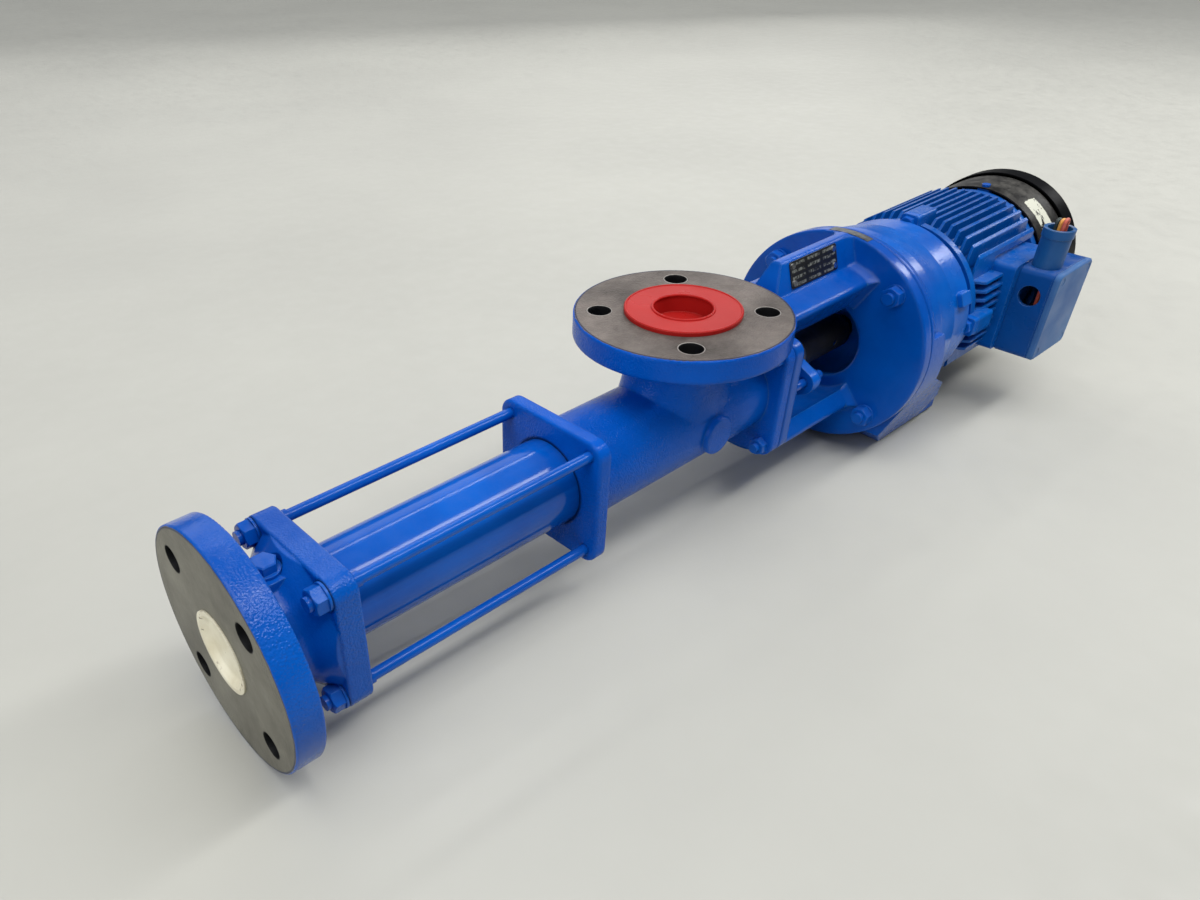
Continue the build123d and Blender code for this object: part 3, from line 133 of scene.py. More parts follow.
def make_tone_group():
    """A colour that drifts between two tones, with a little dust where it faces up."""
    tree, source, sink = new_group(
        "drifting_tone",
        [("Dark", "Color", (0, 0, 0, 1)), ("Light", "Color", (1, 1, 1, 1)), ("Scale", "Float", 9.0),
         ("Dust", "Float", 0.1)],
        [("Color", "Color"), ("Dust", "Float")])
    coords = add(tree, "TexCoord").outputs["Object"]
    drift = add(tree, "TexNoise", {"Vector": coords, "Scale": source.outputs["Scale"], "Detail": 6.0,
                                   "Roughness": 0.6})
    share = add(tree, "MapRange", {"Value": drift.outputs["Fac"], "From Min": 0.32, "From Max": 0.68})
    dark, light = source.outputs["Dark"], source.outputs["Light"]
    tone = add(tree, "Mix", {"Factor": share.outputs[0], 6: dark, 7: light}, data_type="RGBA")
    facing = add(tree, "SeparateXYZ", {0: add(tree, "NewGeometry").outputs["Normal"]}).outputs["Z"]
    lying = add(tree, "MapRange", {"Value": facing, "From Min": 0.45, "From Max": 0.95}).outputs[0]
    specks = add(tree, "TexNoise", {"Vector": coords, "Scale": 70.0, "Detail": 8.0, "Roughness": 0.7})
    loose = add(tree, "MapRange", {"Value": specks.outputs["Fac"], "From Min": 0.42, "From Max": 0.72})
    dust = calc(tree, "MULTIPLY", calc(tree, "MULTIPLY", lying, loose.outputs[0]), source.outputs["Dust"])
    grey = add(tree, "Mix", {"Factor": dust, 6: tone.outputs[2], 7: (0.42, 0.40, 0.36, 1)}, data_type="RGBA")
    tree.links.new(grey.outputs[2], sink.inputs["Color"])
    tree.links.new(dust, sink.inputs["Dust"])
    return tree


def finish(name, dark, light, rough, metal=0.0, coat=0.0, waves=0.0, beads=0.0, bead_scale=380.0,
           relief=0.0003, edge=0.0, wear=0.0, worn=(0.3, 0.3, 0.3), worn_metal=0.0, dust=0.1, drift=9.0,
           shine=0.5):
    """Material with drifting tones, relief, rounded and worn edges, and dust."""
    material = bpy.data.materials.new(name)
    material.use_nodes = True
    tree = material.node_tree
    shader = tree.nodes["Principled BSDF"]
    tone = add(tree, "Group", node_tree=groups["tone"])
    for label, value in (("Dark", (*dark, 1)), ("Light", (*light, 1)), ("Scale", drift), ("Dust", dust)):
        tone.inputs[label].default_value = value
    skin = add(tree, "Group", node_tree=groups["skin"])
    for label, value in (("Waves", waves), ("Beads", beads), ("Bead Scale", bead_scale)):
        skin.inputs[label].default_value = value
    coords = add(tree, "TexCoord").outputs["Object"]
    smudge = add(tree, "TexNoise", {"Vector": coords, "Scale": 38.0, "Detail": 5.0})
    spread = add(tree, "MapRange", {"Value": smudge.outputs["Fac"], "From Min": 0.3, "From Max": 0.7,
                                    "To Min": rough * 0.8, "To Max": min(1.0, rough * 1.25)})
    feed(tree, shader.inputs["Base Color"], tone.outputs["Color"])
    dulled = calc(tree, "MULTIPLY_ADD", tone.outputs["Dust"], 0.5, spread.outputs[0])
    feed(tree, shader.inputs["Roughness"], dulled)
    shader.inputs["Metallic"].default_value = metal
    shader.inputs["Coat Weight"].default_value = coat
    shader.inputs["Coat Roughness"].default_value = 0.06
    shader.inputs["Specular IOR Level"].default_value = shine
    bump = add(tree, "Bump", {"Height": skin.outputs["Height"], "Distance": relief, "Strength": 1.0})
    feed(tree, shader.inputs["Normal"], bump.outputs[0])
    if edge > 0:
        edges = add(tree, "Group", node_tree=groups["edge"])
        edges.inputs["Radius"].default_value = edge
        edges.inputs["Amount"].default_value = wear
        feed(tree, bump.inputs["Normal"], edges.outputs["Normal"])
        if wear > 0:
            overlay(material, edges.outputs["Mask"], worn, rough + 0.15, worn_metal)
    return material


def overlay(material, mask, colour, rough, metal=0.0, coat=0.0):
    """Lays another finish over a material where the mask is 1."""
    tree = material.node_tree
    shader = tree.nodes["Principled BSDF"]
    laid = {"Base Color": colour, "Roughness": rough, "Metallic": metal, "Coat Weight": coat}
    for label, value in laid.items():
        socket = shader.inputs[label]
        if not socket.links and label != "Base Color" and socket.default_value == value:
            continue
        under = socket.links[0].from_socket if socket.links else socket.default_value
        if label == "Base Color":
            over = value if isinstance(value, bpy.types.NodeSocket) else (*value, 1)
            mix = add(tree, "Mix", {"Factor": mask, 6: under, 7: over}, data_type="RGBA").outputs[2]
        else:
            mix = add(tree, "Mix", {"Factor": mask, 2: under, 3: value}).outputs[0]
        feed(tree, socket, mix)


def place(material):
    """Object coordinates as x, y and z outputs."""
    tree = material.node_tree
    return add(tree, "SeparateXYZ", {0: add(tree, "TexCoord").outputs["Object"]}).outputs


def dress(material, *nodes):
    """Gives CAD nodes a material in their slot."""
    for node in nodes:
        for slot in frame["nodes"][node].material_slots:
            slot.material = material


def length_of(tree, a, b):
    """Length of the (a, b) vector."""
    return calc(tree, "SQRT", calc(tree, "ADD", calc(tree, "MULTIPLY", a, a), calc(tree, "MULTIPLY", b, b)))


def bare_face(material, along, level, depth, side_a, side_b, centre_a, rim_r, dull, bright, ring):
    """Bare machined flange face, stained, with paint lapping its rim, thin rings round its bolt holes and
    painted shade inside the holes.
    """
    tree = material.node_tree
    on_face = between(tree, along, level - 0.0004, level + 0.0004, 0.0001)
    across = calc(tree, "SUBTRACT", side_a, centre_a)
    radius = length_of(tree, across, side_b)
    coords = add(tree, "TexCoord").outputs["Object"]
    ragged = add(tree, "TexNoise", {"Vector": coords, "Scale": 90.0, "Detail": 4.0}).outputs["Fac"]
    rim = calc(tree, "MULTIPLY_ADD", ragged, 0.0016, rim_r - 0.0018)
    inside = calc(tree, "LESS_THAN", radius, rim)
    mask = calc(tree, "MULTIPLY", on_face, inside)
    stain = add(tree, "TexNoise", {"Vector": coords, "Scale": 15.0, "Detail": 9.0, "Roughness": 0.72})
    shade = add(tree, "ValToRGB", {"Fac": stain.outputs["Fac"]})
    shade.color_ramp.elements[0].position = 0.30
    shade.color_ramp.elements[0].color = (*dull, 1)
    shade.color_ramp.elements[1].position = 0.72
    shade.color_ramp.elements[1].color = (*bright, 1)
    overlay(material, mask, shade.outputs["Color"], 0.46, 0.35)
    hole = hole_circle / math.sqrt(2)
    from_hole = length_of(tree, calc(tree, "SUBTRACT", calc(tree, "ABSOLUTE", across), hole),
                          calc(tree, "SUBTRACT", calc(tree, "ABSOLUTE", side_b), hole))
    rings = between(tree, from_hole, hole_radius - 0.0002, hole_radius + 0.0006, 0.0002)
    overlay(material, calc(tree, "MULTIPLY", rings, on_face), ring, 0.45, 0.35)
    # Painted shade: the bores of the bolt holes are near black.
    in_holes = calc(tree, "MULTIPLY", calc(tree, "LESS_THAN", from_hole, hole_radius + 0.0001),
                    between(tree, along, *sorted((level, level + depth)), 0.0002))
    overlay(material, in_holes, (0.006, 0.006, 0.007), 0.6)
    in_port = calc(tree, "MULTIPLY", calc(tree, "LESS_THAN", radius, port_radius + 0.0008),
                   between(tree, along, *sorted((level, level + 2.5 * depth)), 0.0002))
    overlay(material, in_port, (0.035, 0.030, 0.026), 0.6, 0.3)
    edge = between(tree, radius, rim_r - 0.0022, rim_r - 0.0012, 0.0004)
    overlay(material, calc(tree, "MULTIPLY", edge, on_face), (0.01, 0.02, 0.06), 0.4)


groups = {"edge": make_edge_group(), "skin": make_skin_group(), "tone": make_tone_group()}
blue_dark, blue_light = (0.0002, 0.060, 0.35), (0.0004, 0.100, 0.50)
end_flange, branch_flange, foot_holes = frame["record"]["mounts"][:3]
flange_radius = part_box("end_cover")[1][1]
hole_circle = end_flange["dims"]["pcd_mm"] / 2000
hole_radius = end_flange["dims"]["hole_r_mm"] / 1000
port_radius = 0.026
flange_thick, branch_flange_thick = 0.020, 0.0185
cover_paint = finish("cover_paint", blue_dark, blue_light, 0.16, waves=0.5, beads=1.0, bead_scale=680.0,
                     relief=0.0008, edge=0.0018, wear=0.10, worn=(0.02, 0.17, 0.50), dust=0.03, shine=0.22)
x, y, z = place(cover_paint)
tree = cover_paint.node_tree
plate_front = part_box("tie_rod_washers")[1][0]
rough_rim = 0.070
rough_parts = calc(tree, "MAXIMUM", calc(tree, "GREATER_THAN", x, plate_front - 0.0005),
                   calc(tree, "GREATER_THAN", length_of(tree, y, z), rough_rim))
skin = next(node for node in tree.nodes if node.type == "GROUP" and node.node_tree == groups["skin"])
feed(tree, skin.inputs["Beads"], calc(tree, "MULTIPLY_ADD", rough_parts, 0.80, 0.20))
bare_face(cover_paint, x, 0.0, flange_thick, y, z, 0.0, flange_radius, (0.105, 0.100, 0.082),
          (0.27, 0.26, 0.215), (0.03, 0.028, 0.025))
rod_thread_radius = 0.005
rod_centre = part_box("tie_rods")[1][1] - rod_thread_radius
washer_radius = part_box("tie_rod_washers")[1][1] - rod_centre
from_rod = length_of(tree, calc(tree, "SUBTRACT", calc(tree, "ABSOLUTE", y), rod_centre),
                     calc(tree, "SUBTRACT", calc(tree, "ABSOLUTE", z), rod_centre))
# Painted shade: a dark blue ring on the plate's front face round each washer, where shade falls at the seat.
painted_seat_shade = calc(tree, "MULTIPLY", between(tree, x, plate_front - 0.001, plate_front + 0.001),
                 between(tree, from_rod, 0.0, washer_radius + 0.0011, 0.0009))
overlay(cover_paint, calc(tree, "MULTIPLY", painted_seat_shade, 0.85), (0.0002, 0.014, 0.080), 0.5)
dress(cover_paint, "end_cover")

# ---------------------------------------------------------------- cover plug
# Hexagon-headed steel plug with a collar, screwed into the cover's priming port.
# Painted over in place, so its corners are round with paint.
fastener_paint = finish("fastener_paint", blue_dark, (0.002, 0.115, 0.54), 0.22, waves=0.5, beads=0.4,
                        bead_scale=700.0, relief=0.0004, edge=0.0008, wear=0.25, worn=(0.04, 0.19, 0.48),
                        dust=0.08, shine=0.22)
dress(fastener_paint, "cover_plug_screw")

# ---------------------------------------------------------------- stator tube
# Drawn steel tube that carries the moulded rubber lining between the two plates.
# Smooth and glossy under its paint, with faint lengthwise draw marks.
tube_paint = finish("tube_paint", blue_dark, blue_light, 0.13, waves=0.25, beads=0.08, relief=0.0002,
                    dust=0.03, shine=0.32)
tree = tube_paint.node_tree
coords = add(tree, "TexCoord").outputs["Object"]
stretched = add(tree, "Mapping", {"Vector": coords, "Scale": (1.5, 60.0, 60.0)})
streak = add(tree, "TexNoise", {"Vector": stretched.outputs[0], "Scale": 3.0, "Detail": 3.0})
band = add(tree, "MapRange", {"Value": streak.outputs["Fac"], "From Min": 0.55, "From Max": 0.75}).outputs[0]
overlay(tube_paint, calc(tree, "MULTIPLY", band, 0.35), (0.003, 0.125, 0.54), 0.15)
dress(tube_paint, "stator_tube")

# ---------------------------------------------------------------- stator lining
# Black synthetic rubber moulded into the tube, with the double helix cavity the rotor rolls in.
# Dull, a little greasy where the rotor has run.
lining_rubber = finish("lining_rubber", (0.012, 0.012, 0.012), (0.030, 0.029, 0.028), 0.55, waves=0.2,
                       beads=0.15, bead_scale=600.0, relief=0.0002, dust=0.05)
dress(lining_rubber, "stator_lining")

# ---------------------------------------------------------------- rotor
# Single helix of round section, turned from steel bar and hard chromed, with its joint head behind.
# Mirror-like, with fine turning marks round the helix.


def turned_metal(name, dark, light, rough, grooves=45.0, wear=0.2, metal=1.0):
    """Machined metal: fine turning marks along the axis under a light oil film."""
    material = finish(name, dark, light, rough, metal=metal, waves=0.1, relief=0.0001, edge=0.0005,
                      wear=wear, worn=tuple(min(1.0, c * 1.5) for c in light), worn_metal=1.0, dust=0.0,
                      drift=25.0)
    tree = material.node_tree
    coords = add(tree, "TexCoord").outputs["Object"]
    marks = add(tree, "TexWave", {"Vector": coords, "Scale": grooves, "Distortion": 0.6, "Detail": 2.0},
                bands_direction="X")
    coarse = tree.nodes["Bump"]
    fine = add(tree, "Bump", {"Height": marks.outputs["Fac"], "Distance": 0.00005, "Strength": 0.5,
                              "Normal": coarse.outputs[0]})
    feed(tree, tree.nodes["Principled BSDF"].inputs["Normal"], fine.outputs[0])
    return material


rotor_chrome = turned_metal("rotor_chrome", (0.62, 0.63, 0.65), (0.80, 0.81, 0.82), 0.08)
dress(rotor_chrome, "rotor")

# ---------------------------------------------------------------- tie rods
# Four threaded steel rods that clamp the stator between the end cover and the suction casing.
# Painted blue over their whole length, a little thin on top.
rod_paint = finish("rod_paint", blue_dark, blue_light, 0.16, waves=0.4, beads=0.3, bead_scale=600.0,
                   relief=0.0003, dust=0.03, shine=0.28)
dress(rod_paint, "tie_rods")

# ---------------------------------------------------------------- tie rod nuts
# Plain M10 hexagon nuts on the rods' front ends, painted over.
# The paint bridges their threads, so they read as smooth blocks.
dress(fastener_paint, "tie_rod_nuts")

# ---------------------------------------------------------------- tie rod washers
# Flat punched steel washers under the nuts, bedded in paint.
# Their outer edges are rubbed a little lighter.
dress(fastener_paint, "tie_rod_washers")

# ---------------------------------------------------------------- rotor joint pin
# Hardened cross pin through the rotor's head, the rod's front bearing.
# Ground bright and greased.
pin_steel = turned_metal("pin_steel", (0.42, 0.43, 0.44), (0.60, 0.61, 0.62), 0.16)
dress(pin_steel, "rotor_joint_pin")

# ---------------------------------------------------------------- drive joint pin
# The same hardened pin at the drive shaft's socket.
# Ground bright and greased.
dress(pin_steel, "drive_joint_pin")

# ---------------------------------------------------------------- coupling rod
# Forged and turned rod that carries the drive to the rotor while its front end orbits.
# Bright at the heads, darker along its waist.
rod_steel = turned_metal("rod_steel", (0.30, 0.30, 0.31), (0.48, 0.48, 0.49), 0.28)
dress(rod_steel, "coupling_rod")

# ---------------------------------------------------------------- coupling bushes
# Bronze bushes pressed into both eyes of the coupling rod.
# Turned, with a thin dark film of grease.
bush_bronze = turned_metal("bush_bronze", (0.38, 0.22, 0.09), (0.60, 0.40, 0.18), 0.30)
dress(bush_bronze, "coupling_bushes")

# ---------------------------------------------------------------- rotor joint ring
# Steel ring shrunk over the rotor's head to keep the pin in.
# Turned bright.
dress(rod_steel, "rotor_joint_ring")

# ---------------------------------------------------------------- suction casing
# Cast iron casing: square plates at both ends, a thick barrel and the inlet branch with its flange.
# Sand cast and thickly painted; the branch's face is bare with worn rings round its holes.
casing_paint = finish("casing_paint", (0.0002, 0.060, 0.37), (0.0003, 0.100, 0.54), 0.18, waves=0.7,
                      beads=1.0, bead_scale=660.0, relief=0.0010, edge=0.0040, wear=0.03,
                      worn=(0.02, 0.16, 0.50), dust=0.01, shine=0.11)
x, y, z = place(casing_paint)
branch_x, _, branch_top = branch_flange["pos_m"]
bare_face(casing_paint, z, branch_top, -branch_flange_thick, x, y, branch_x, flange_radius,
          (0.062, 0.053, 0.047), (0.25, 0.214, 0.192), (0.48, 0.45, 0.42))
tree = casing_paint.node_tree
front_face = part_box("suction_casing")[0][0]
tube_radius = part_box("stator_tube")[1][1]
# Painted shade: a dark blue ring on the casing's front face round the stator tube, where the tube enters.
painted_joint_shade = calc(tree, "MULTIPLY", between(tree, x, front_face - 0.0005, front_face + 0.0006),
                  between(tree, length_of(tree, y, z), tube_radius - 0.003, tube_radius + 0.0022, 0.0010))
overlay(casing_paint, calc(tree, "MULTIPLY", painted_joint_shade, 0.85), (0.0002, 0.014, 0.080), 0.5)
dress(casing_paint, "suction_casing")

# ---------------------------------------------------------------- seal housing
# Stuffing box casting, spigoted into the casing's rear plate.
# Painted with the rest; its mouth shows behind the gland.
seal_paint = finish("seal_paint", (0.0004, 0.040, 0.22), blue_dark, 0.28, waves=0.6, beads=0.4,
                    relief=0.0004, edge=0.001, wear=0.10, worn=(0.02, 0.15, 0.50), dust=0.10, shine=0.2)
dress(seal_paint, "seal_housing")

# ---------------------------------------------------------------- packing rings
# Square braided graphited yarn, cut to rings and pressed in by the gland.
# Dull, dark and fibrous.
packing_yarn = finish("packing_yarn", (0.020, 0.019, 0.018), (0.065, 0.060, 0.052), 0.85, waves=0.3,
                      beads=1.0, bead_scale=900.0, relief=0.0004, dust=0.0)
dress(packing_yarn, "packing_rings")

# ---------------------------------------------------------------- gland follower
# Oval cast follower that presses the packing, on two studs.
# Painted on its outside, rubbed at the ears.
gland_paint = finish("gland_paint", blue_light, (0.002, 0.13, 0.62), 0.22, waves=0.6, beads=0.3,
                     relief=0.0004, edge=0.0015, wear=0.15, worn=(0.08, 0.24, 0.55), dust=0.04, shine=0.22)
dress(gland_paint, "gland_follower")

# ---------------------------------------------------------------- gland studs
# Two M8 studs screwed into the lantern's plate.
# Painted with the lantern.
dress(rod_paint, "gland_studs")

# ---------------------------------------------------------------- gland nuts
# Nuts that draw the follower in.
# Painted, with spanner marks on their corners.
dress(fastener_paint, "gland_nuts")

# ---------------------------------------------------------------- drive shaft
# Plug-in shaft: joint socket in the casing, ground journal under the packing, blackened hollow sleeve behind.
# Turned from one steel bar; only the ground journal and the socket in front of it are bright.
sleeve_black = turned_metal("sleeve_black", (0.010, 0.010, 0.012), (0.030, 0.030, 0.034), 0.42, wear=0.15,
                            metal=0.6)
tree = sleeve_black.node_tree
shaft_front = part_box("drive_shaft")[0][0]
ring_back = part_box("thrower_ring")[1][0]
journal = between(tree, place(sleeve_black)["X"], shaft_front - 0.001, ring_back - 0.0004, 0.0003)
overlay(sleeve_black, journal, (0.55, 0.56, 0.57), 0.14, 1.0)
dress(sleeve_black, "drive_shaft")

# ---------------------------------------------------------------- thrower ring
# Bronze ring on the shaft in front of the sleeve, which throws leaking drops off.
# Turned, tarnished to a warm brown.
ring_bronze = turned_metal("ring_bronze", (0.45, 0.27, 0.13), (0.80, 0.55, 0.34), 0.26)
dress(ring_bronze, "thrower_ring")

# ---------------------------------------------------------------- motor shaft
# Motor's steel shaft, plugged into the drive shaft's sleeve in front.
# Ground at its seats.
dress(rod_steel, "motor_shaft")

# ---------------------------------------------------------------- shaft key
# Drawn steel key between the motor shaft and the sleeve.
# Plain bright steel.
dress(pin_steel, "shaft_key")

# ---------------------------------------------------------------- shaft cross pin
# Pin across sleeve and motor shaft that keeps them together along the axis.
# Its end shows as a small bright spot in the sleeve: its steel is painted lighter than the other pins, a
# painted glint.
cross_pin_steel = turned_metal("cross_pin_steel", (0.60, 0.61, 0.62), (0.78, 0.79, 0.80), 0.18)
dress(cross_pin_steel, "shaft_cross_pin")

# ---------------------------------------------------------------- lantern
# Open cast lantern: square plate in front, an upper arm with a tall ridge, a lower arm and the big
# motor flange. One iron casting, machined at both ends, under thick glossy paint.
lantern_paint = finish("lantern_paint", blue_dark, blue_light, 0.17, waves=0.8, beads=0.25,
                       bead_scale=450.0, relief=0.0006, edge=0.0042, wear=0.06, worn=(0.02, 0.17, 0.52),
                       dust=0.03, shine=0.2)
dress(lantern_paint, "lantern")

# ---------------------------------------------------------------- casing studs
# Studs that join the casing's rear plate to the lantern.
# Painted, their ends beaded with paint.
dress(fastener_paint, "casing_studs")

# ---------------------------------------------------------------- casing nuts
# M8 nuts on those studs and at the roots of the gland studs.
# Painted over.
dress(fastener_paint, "casing_nuts")

# ---------------------------------------------------------------- foot
# Ring clamped between lantern and motor, with saddle walls down to a drilled base.
# Cast and painted; the base is dulled and chipped near the floor.
foot_paint = finish("foot_paint", blue_dark, blue_light, 0.22, waves=0.7, beads=0.4, relief=0.0006,
                    edge=0.0022, wear=0.04, worn=(0.03, 0.15, 0.46), dust=0.08, shine=0.2)
tree = foot_paint.node_tree
coords = add(tree, "TexCoord").outputs["Object"]
scuffs = add(tree, "TexNoise", {"Vector": coords, "Scale": 55.0, "Detail": 7.0})
foot_x, _, foot_base = foot_holes["pos_m"]
near_floor = add(tree, "MapRange", {"Value": place(foot_paint)["Z"], "From Min": foot_base + 0.015,
                                    "From Max": foot_base - 0.001})
dirty = calc(tree, "GREATER_THAN", calc(tree, "MULTIPLY", scuffs.outputs["Fac"], near_floor.outputs[0]), 0.52)
overlay(foot_paint, dirty, (0.02, 0.02, 0.022), 0.7)
dress(foot_paint, "support_foot")

# ---------------------------------------------------------------- flange studs
# Four M10 studs through lantern and foot ring into the motor's flange.
# Their rounded ends stand out of the nuts, painted.
dress(fastener_paint, "flange_studs")

# ---------------------------------------------------------------- flange nuts
# Hexagon nuts on the studs.
# Painted, with lighter corners.
dress(fastener_paint, "flange_nuts")

# ---------------------------------------------------------------- flange washers
# Flat washers under the nuts.
# Painted with them.
dress(fastener_paint, "flange_washers")

# ---------------------------------------------------------------- motor drive shield
# Cast shield that tapers from the flange to the frame and holds the front bearing.
# Turned at its seats, under smooth, glossy paint.
shield_paint = finish("shield_paint", blue_dark, (0.001, 0.128, 0.56), 0.24, waves=0.7, beads=0.3,
                      relief=0.0006, edge=0.0020, wear=0.08, worn=(0.03, 0.19, 0.54), dust=0.05, shine=0.22)
dress(shield_paint, "motor_drive_shield")

# ---------------------------------------------------------------- motor rear shield
# Cast disc behind the frame with the rear bearing's housing, inside the cowl's rim.
# Painted, dusty from the fan's air.
dress(foot_paint, "motor_rear_shield")

# ---------------------------------------------------------------- bearings
# Outer rings, inner rings and balls of two sealed ball bearings.
# Ground bearing steel, the balls polished.
bearing_steel = turned_metal("bearing_steel", (0.50, 0.51, 0.52), (0.66, 0.67, 0.68), 0.14)
dress(bearing_steel, "bearing_outer_rings", "bearing_inner_rings")
ball_steel = finish("ball_steel", (0.70, 0.71, 0.72), (0.80, 0.81, 0.82), 0.05, metal=1.0, dust=0.0)
dress(ball_steel, "bearing_balls")

# ---------------------------------------------------------------- motor frame
# Cast frame with upright fins over and under, level fins on its sides and a saddle for the terminal box.
# Thick paint, thin and lighter on the fins' corners, with dust on what faces up.
frame_paint = finish("frame_paint", (0.0004, 0.066, 0.31), (0.0010, 0.110, 0.47), 0.26, waves=0.7,
                     beads=0.3, relief=0.0004, edge=0.0010, wear=0.18, worn=(0.05, 0.22, 0.58), dust=0.14,
                     shine=0.2)
dress(frame_paint, "motor_frame")

# ---------------------------------------------------------------- shield bolts
# Four hexagon bolts through the shield's ears into the frame's lugs.
# Painted over.
dress(fastener_paint, "shield_bolts")

# ---------------------------------------------------------------- stator core
# Stack of varnished electrical sheet, shrunk into the frame.
# Dark, with the sheets' fine lines.
core_sheet = turned_metal("core_sheet", (0.10, 0.095, 0.09), (0.20, 0.19, 0.18), 0.45, grooves=90.0)
dress(core_sheet, "stator_core")

# ---------------------------------------------------------------- windings
# Heads of the varnished copper winding at both ends of the core.
# Laced bundles, dark amber.
winding_copper = finish("winding_copper", (0.14, 0.045, 0.015), (0.36, 0.14, 0.05), 0.35, metal=0.6,
                        waves=0.5, beads=0.9, bead_scale=420.0, relief=0.0008, dust=0.0)
dress(winding_copper, "stator_windings")

# ---------------------------------------------------------------- cage rotor
# Motor rotor of sheet with its cast aluminium end rings.
# Turned on its outside.
dress(core_sheet, "cage_rotor")

# ---------------------------------------------------------------- cooling fan
# Moulded black plastic fan on the shaft's rear end.
# Matt, with dust on its blades.
fan_plastic = finish("fan_plastic", (0.010, 0.010, 0.010), (0.028, 0.028, 0.028), 0.5, waves=0.2,
                     relief=0.0002, edge=0.0008, wear=0.15, worn=(0.08, 0.08, 0.08), dust=0.35)
dress(fan_plastic, "cooling_fan")

# ---------------------------------------------------------------- fan cowl
# Pressed steel cowl over the fan, in satin dark grey, rubbed brown and light along its top.
# A pale sticker near the front edge is almost worn away; nothing can be read on it.
cowl_grey = finish("cowl_grey", (0.004, 0.004, 0.005), (0.022, 0.021, 0.020), 0.36, waves=0.3,
                   relief=0.0003, edge=0.001, wear=0.25, worn=(0.12, 0.11, 0.10), dust=0.22, shine=0.08)
x, y, z = place(cowl_grey)
tree = cowl_grey.node_tree
coords = add(tree, "TexCoord").outputs["Object"]
flakes = add(tree, "TexNoise", {"Vector": coords, "Scale": 75.0, "Detail": 8.0, "Roughness": 0.75})
angle = calc(tree, "ARCTAN2", z, y)
sticker_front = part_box("fan_cowl")[0][0] + 0.0105
sticker_width, sticker_from, sticker_to = 0.025, math.radians(117), math.radians(152)
sticker = calc(tree, "MULTIPLY", between(tree, angle, sticker_from, sticker_to, 0.03),
               between(tree, x, sticker_front, sticker_front + sticker_width, 0.002))
stuck = calc(tree, "GREATER_THAN", calc(tree, "MULTIPLY", sticker, flakes.outputs["Fac"]), 0.43)
overlay(cowl_grey, stuck, (0.62, 0.62, 0.52), 0.65)
dress(cowl_grey, "fan_cowl")

# ---------------------------------------------------------------- cowl screws
# Pan-head steel screws that hold the cowl to the rear shield.
# Painted with the motor, so they stand out blue on the dark cowl.
dress(fastener_paint, "cowl_screws")

# ---------------------------------------------------------------- rain canopy
# Round pressed canopy behind the cowl that keeps rain out of the fan's inlet.
# Satin black.
canopy_black = finish("canopy_black", (0.002, 0.002, 0.0025), (0.005, 0.005, 0.006), 0.34, waves=0.3,
                      relief=0.0003, edge=0.001, wear=0.06, worn=(0.03, 0.03, 0.03), dust=0.01, shine=0.03)
dress(canopy_black, "rain_canopy")

# ---------------------------------------------------------------- canopy posts
# Short steel spacers between cowl and canopy.
# Blackened.
post_steel = turned_metal("post_steel", (0.02, 0.02, 0.022), (0.06, 0.06, 0.064), 0.35)
dress(post_steel, "canopy_posts")

# ---------------------------------------------------------------- terminal box
# Pressed and welded steel box on the frame's saddle, with an open cable entry in front.
# Painted a little greyer than the castings, dusty on top.
box_paint = finish("box_paint", (0.0012, 0.050, 0.23), (0.0025, 0.080, 0.34), 0.28, waves=0.4, beads=0.3,
                   relief=0.0004, edge=0.0015, wear=0.18, worn=(0.05, 0.18, 0.46), dust=0.22, shine=0.22)
dress(box_paint, "terminal_box")

# ---------------------------------------------------------------- box gasket
# Thin black rubber gasket under the lid.
# Only its edge shows; the box was painted with it in place, so it is blue too.
dress(box_paint, "box_gasket")

# ---------------------------------------------------------------- terminal box lid
# Flat pressed lid, screwed on at its corners.
# Its face is chalky and paler than the box.
lid_paint = finish("lid_paint", (0.028, 0.105, 0.31), (0.070, 0.19, 0.41), 0.42, waves=0.3, beads=0.15,
                   relief=0.0002, edge=0.0015, wear=0.20, worn=(0.12, 0.24, 0.46), dust=0.15, shine=0.25)
dress(lid_paint, "terminal_box_lid")

# ---------------------------------------------------------------- lid screws
# Countersunk machine screws, bedded in paint.
# As pale as the lid.
dress(lid_paint, "lid_screws")

# ---------------------------------------------------------------- cable spout
# Upright cast spout with a collar, through which the supply leads come out.
# Faded, greenish blue with grey dust on its collar.
spout_paint = finish("spout_paint", (0.003, 0.055, 0.20), (0.015, 0.115, 0.32), 0.42, waves=0.6, beads=0.3,
                     relief=0.0004, edge=0.001, wear=0.35, worn=(0.14, 0.22, 0.30), dust=0.6, shine=0.3)
dress(spout_paint, "cable_spout")

# ---------------------------------------------------------------- terminal board
# Moulded brown board screwed to the box's back.
# Slightly glossy.
board_resin = finish("board_resin", (0.07, 0.030, 0.014), (0.12, 0.055, 0.026), 0.35, waves=0.2,
                     relief=0.0002, edge=0.0005, wear=0.1, worn=(0.2, 0.12, 0.07))
dress(board_resin, "terminal_board")

# ---------------------------------------------------------------- terminal studs
# Six brass studs for the leads.
# Tarnished brass.
stud_brass = turned_metal("stud_brass", (0.42, 0.28, 0.08), (0.66, 0.48, 0.20), 0.25)
dress(stud_brass, "terminal_studs")

# ---------------------------------------------------------------- leads
# Three stranded supply leads that leave the board, bow over the spout's mouth and tuck back in.
# Red, orange-yellow and dark green-black insulation, dusty and a little stiff.
for node, dark, light in (("lead_red", (0.35, 0.05, 0.035), (0.62, 0.12, 0.08)),
                          ("lead_yellow", (0.60, 0.22, 0.03), (0.85, 0.42, 0.08)),
                          ("lead_black", (0.012, 0.022, 0.020), (0.035, 0.055, 0.050))):
    sleeve = finish(node + "_sleeve", dark, light, 0.45, waves=0.3, relief=0.0002, dust=0.25, drift=60.0)
    dress(sleeve, node)

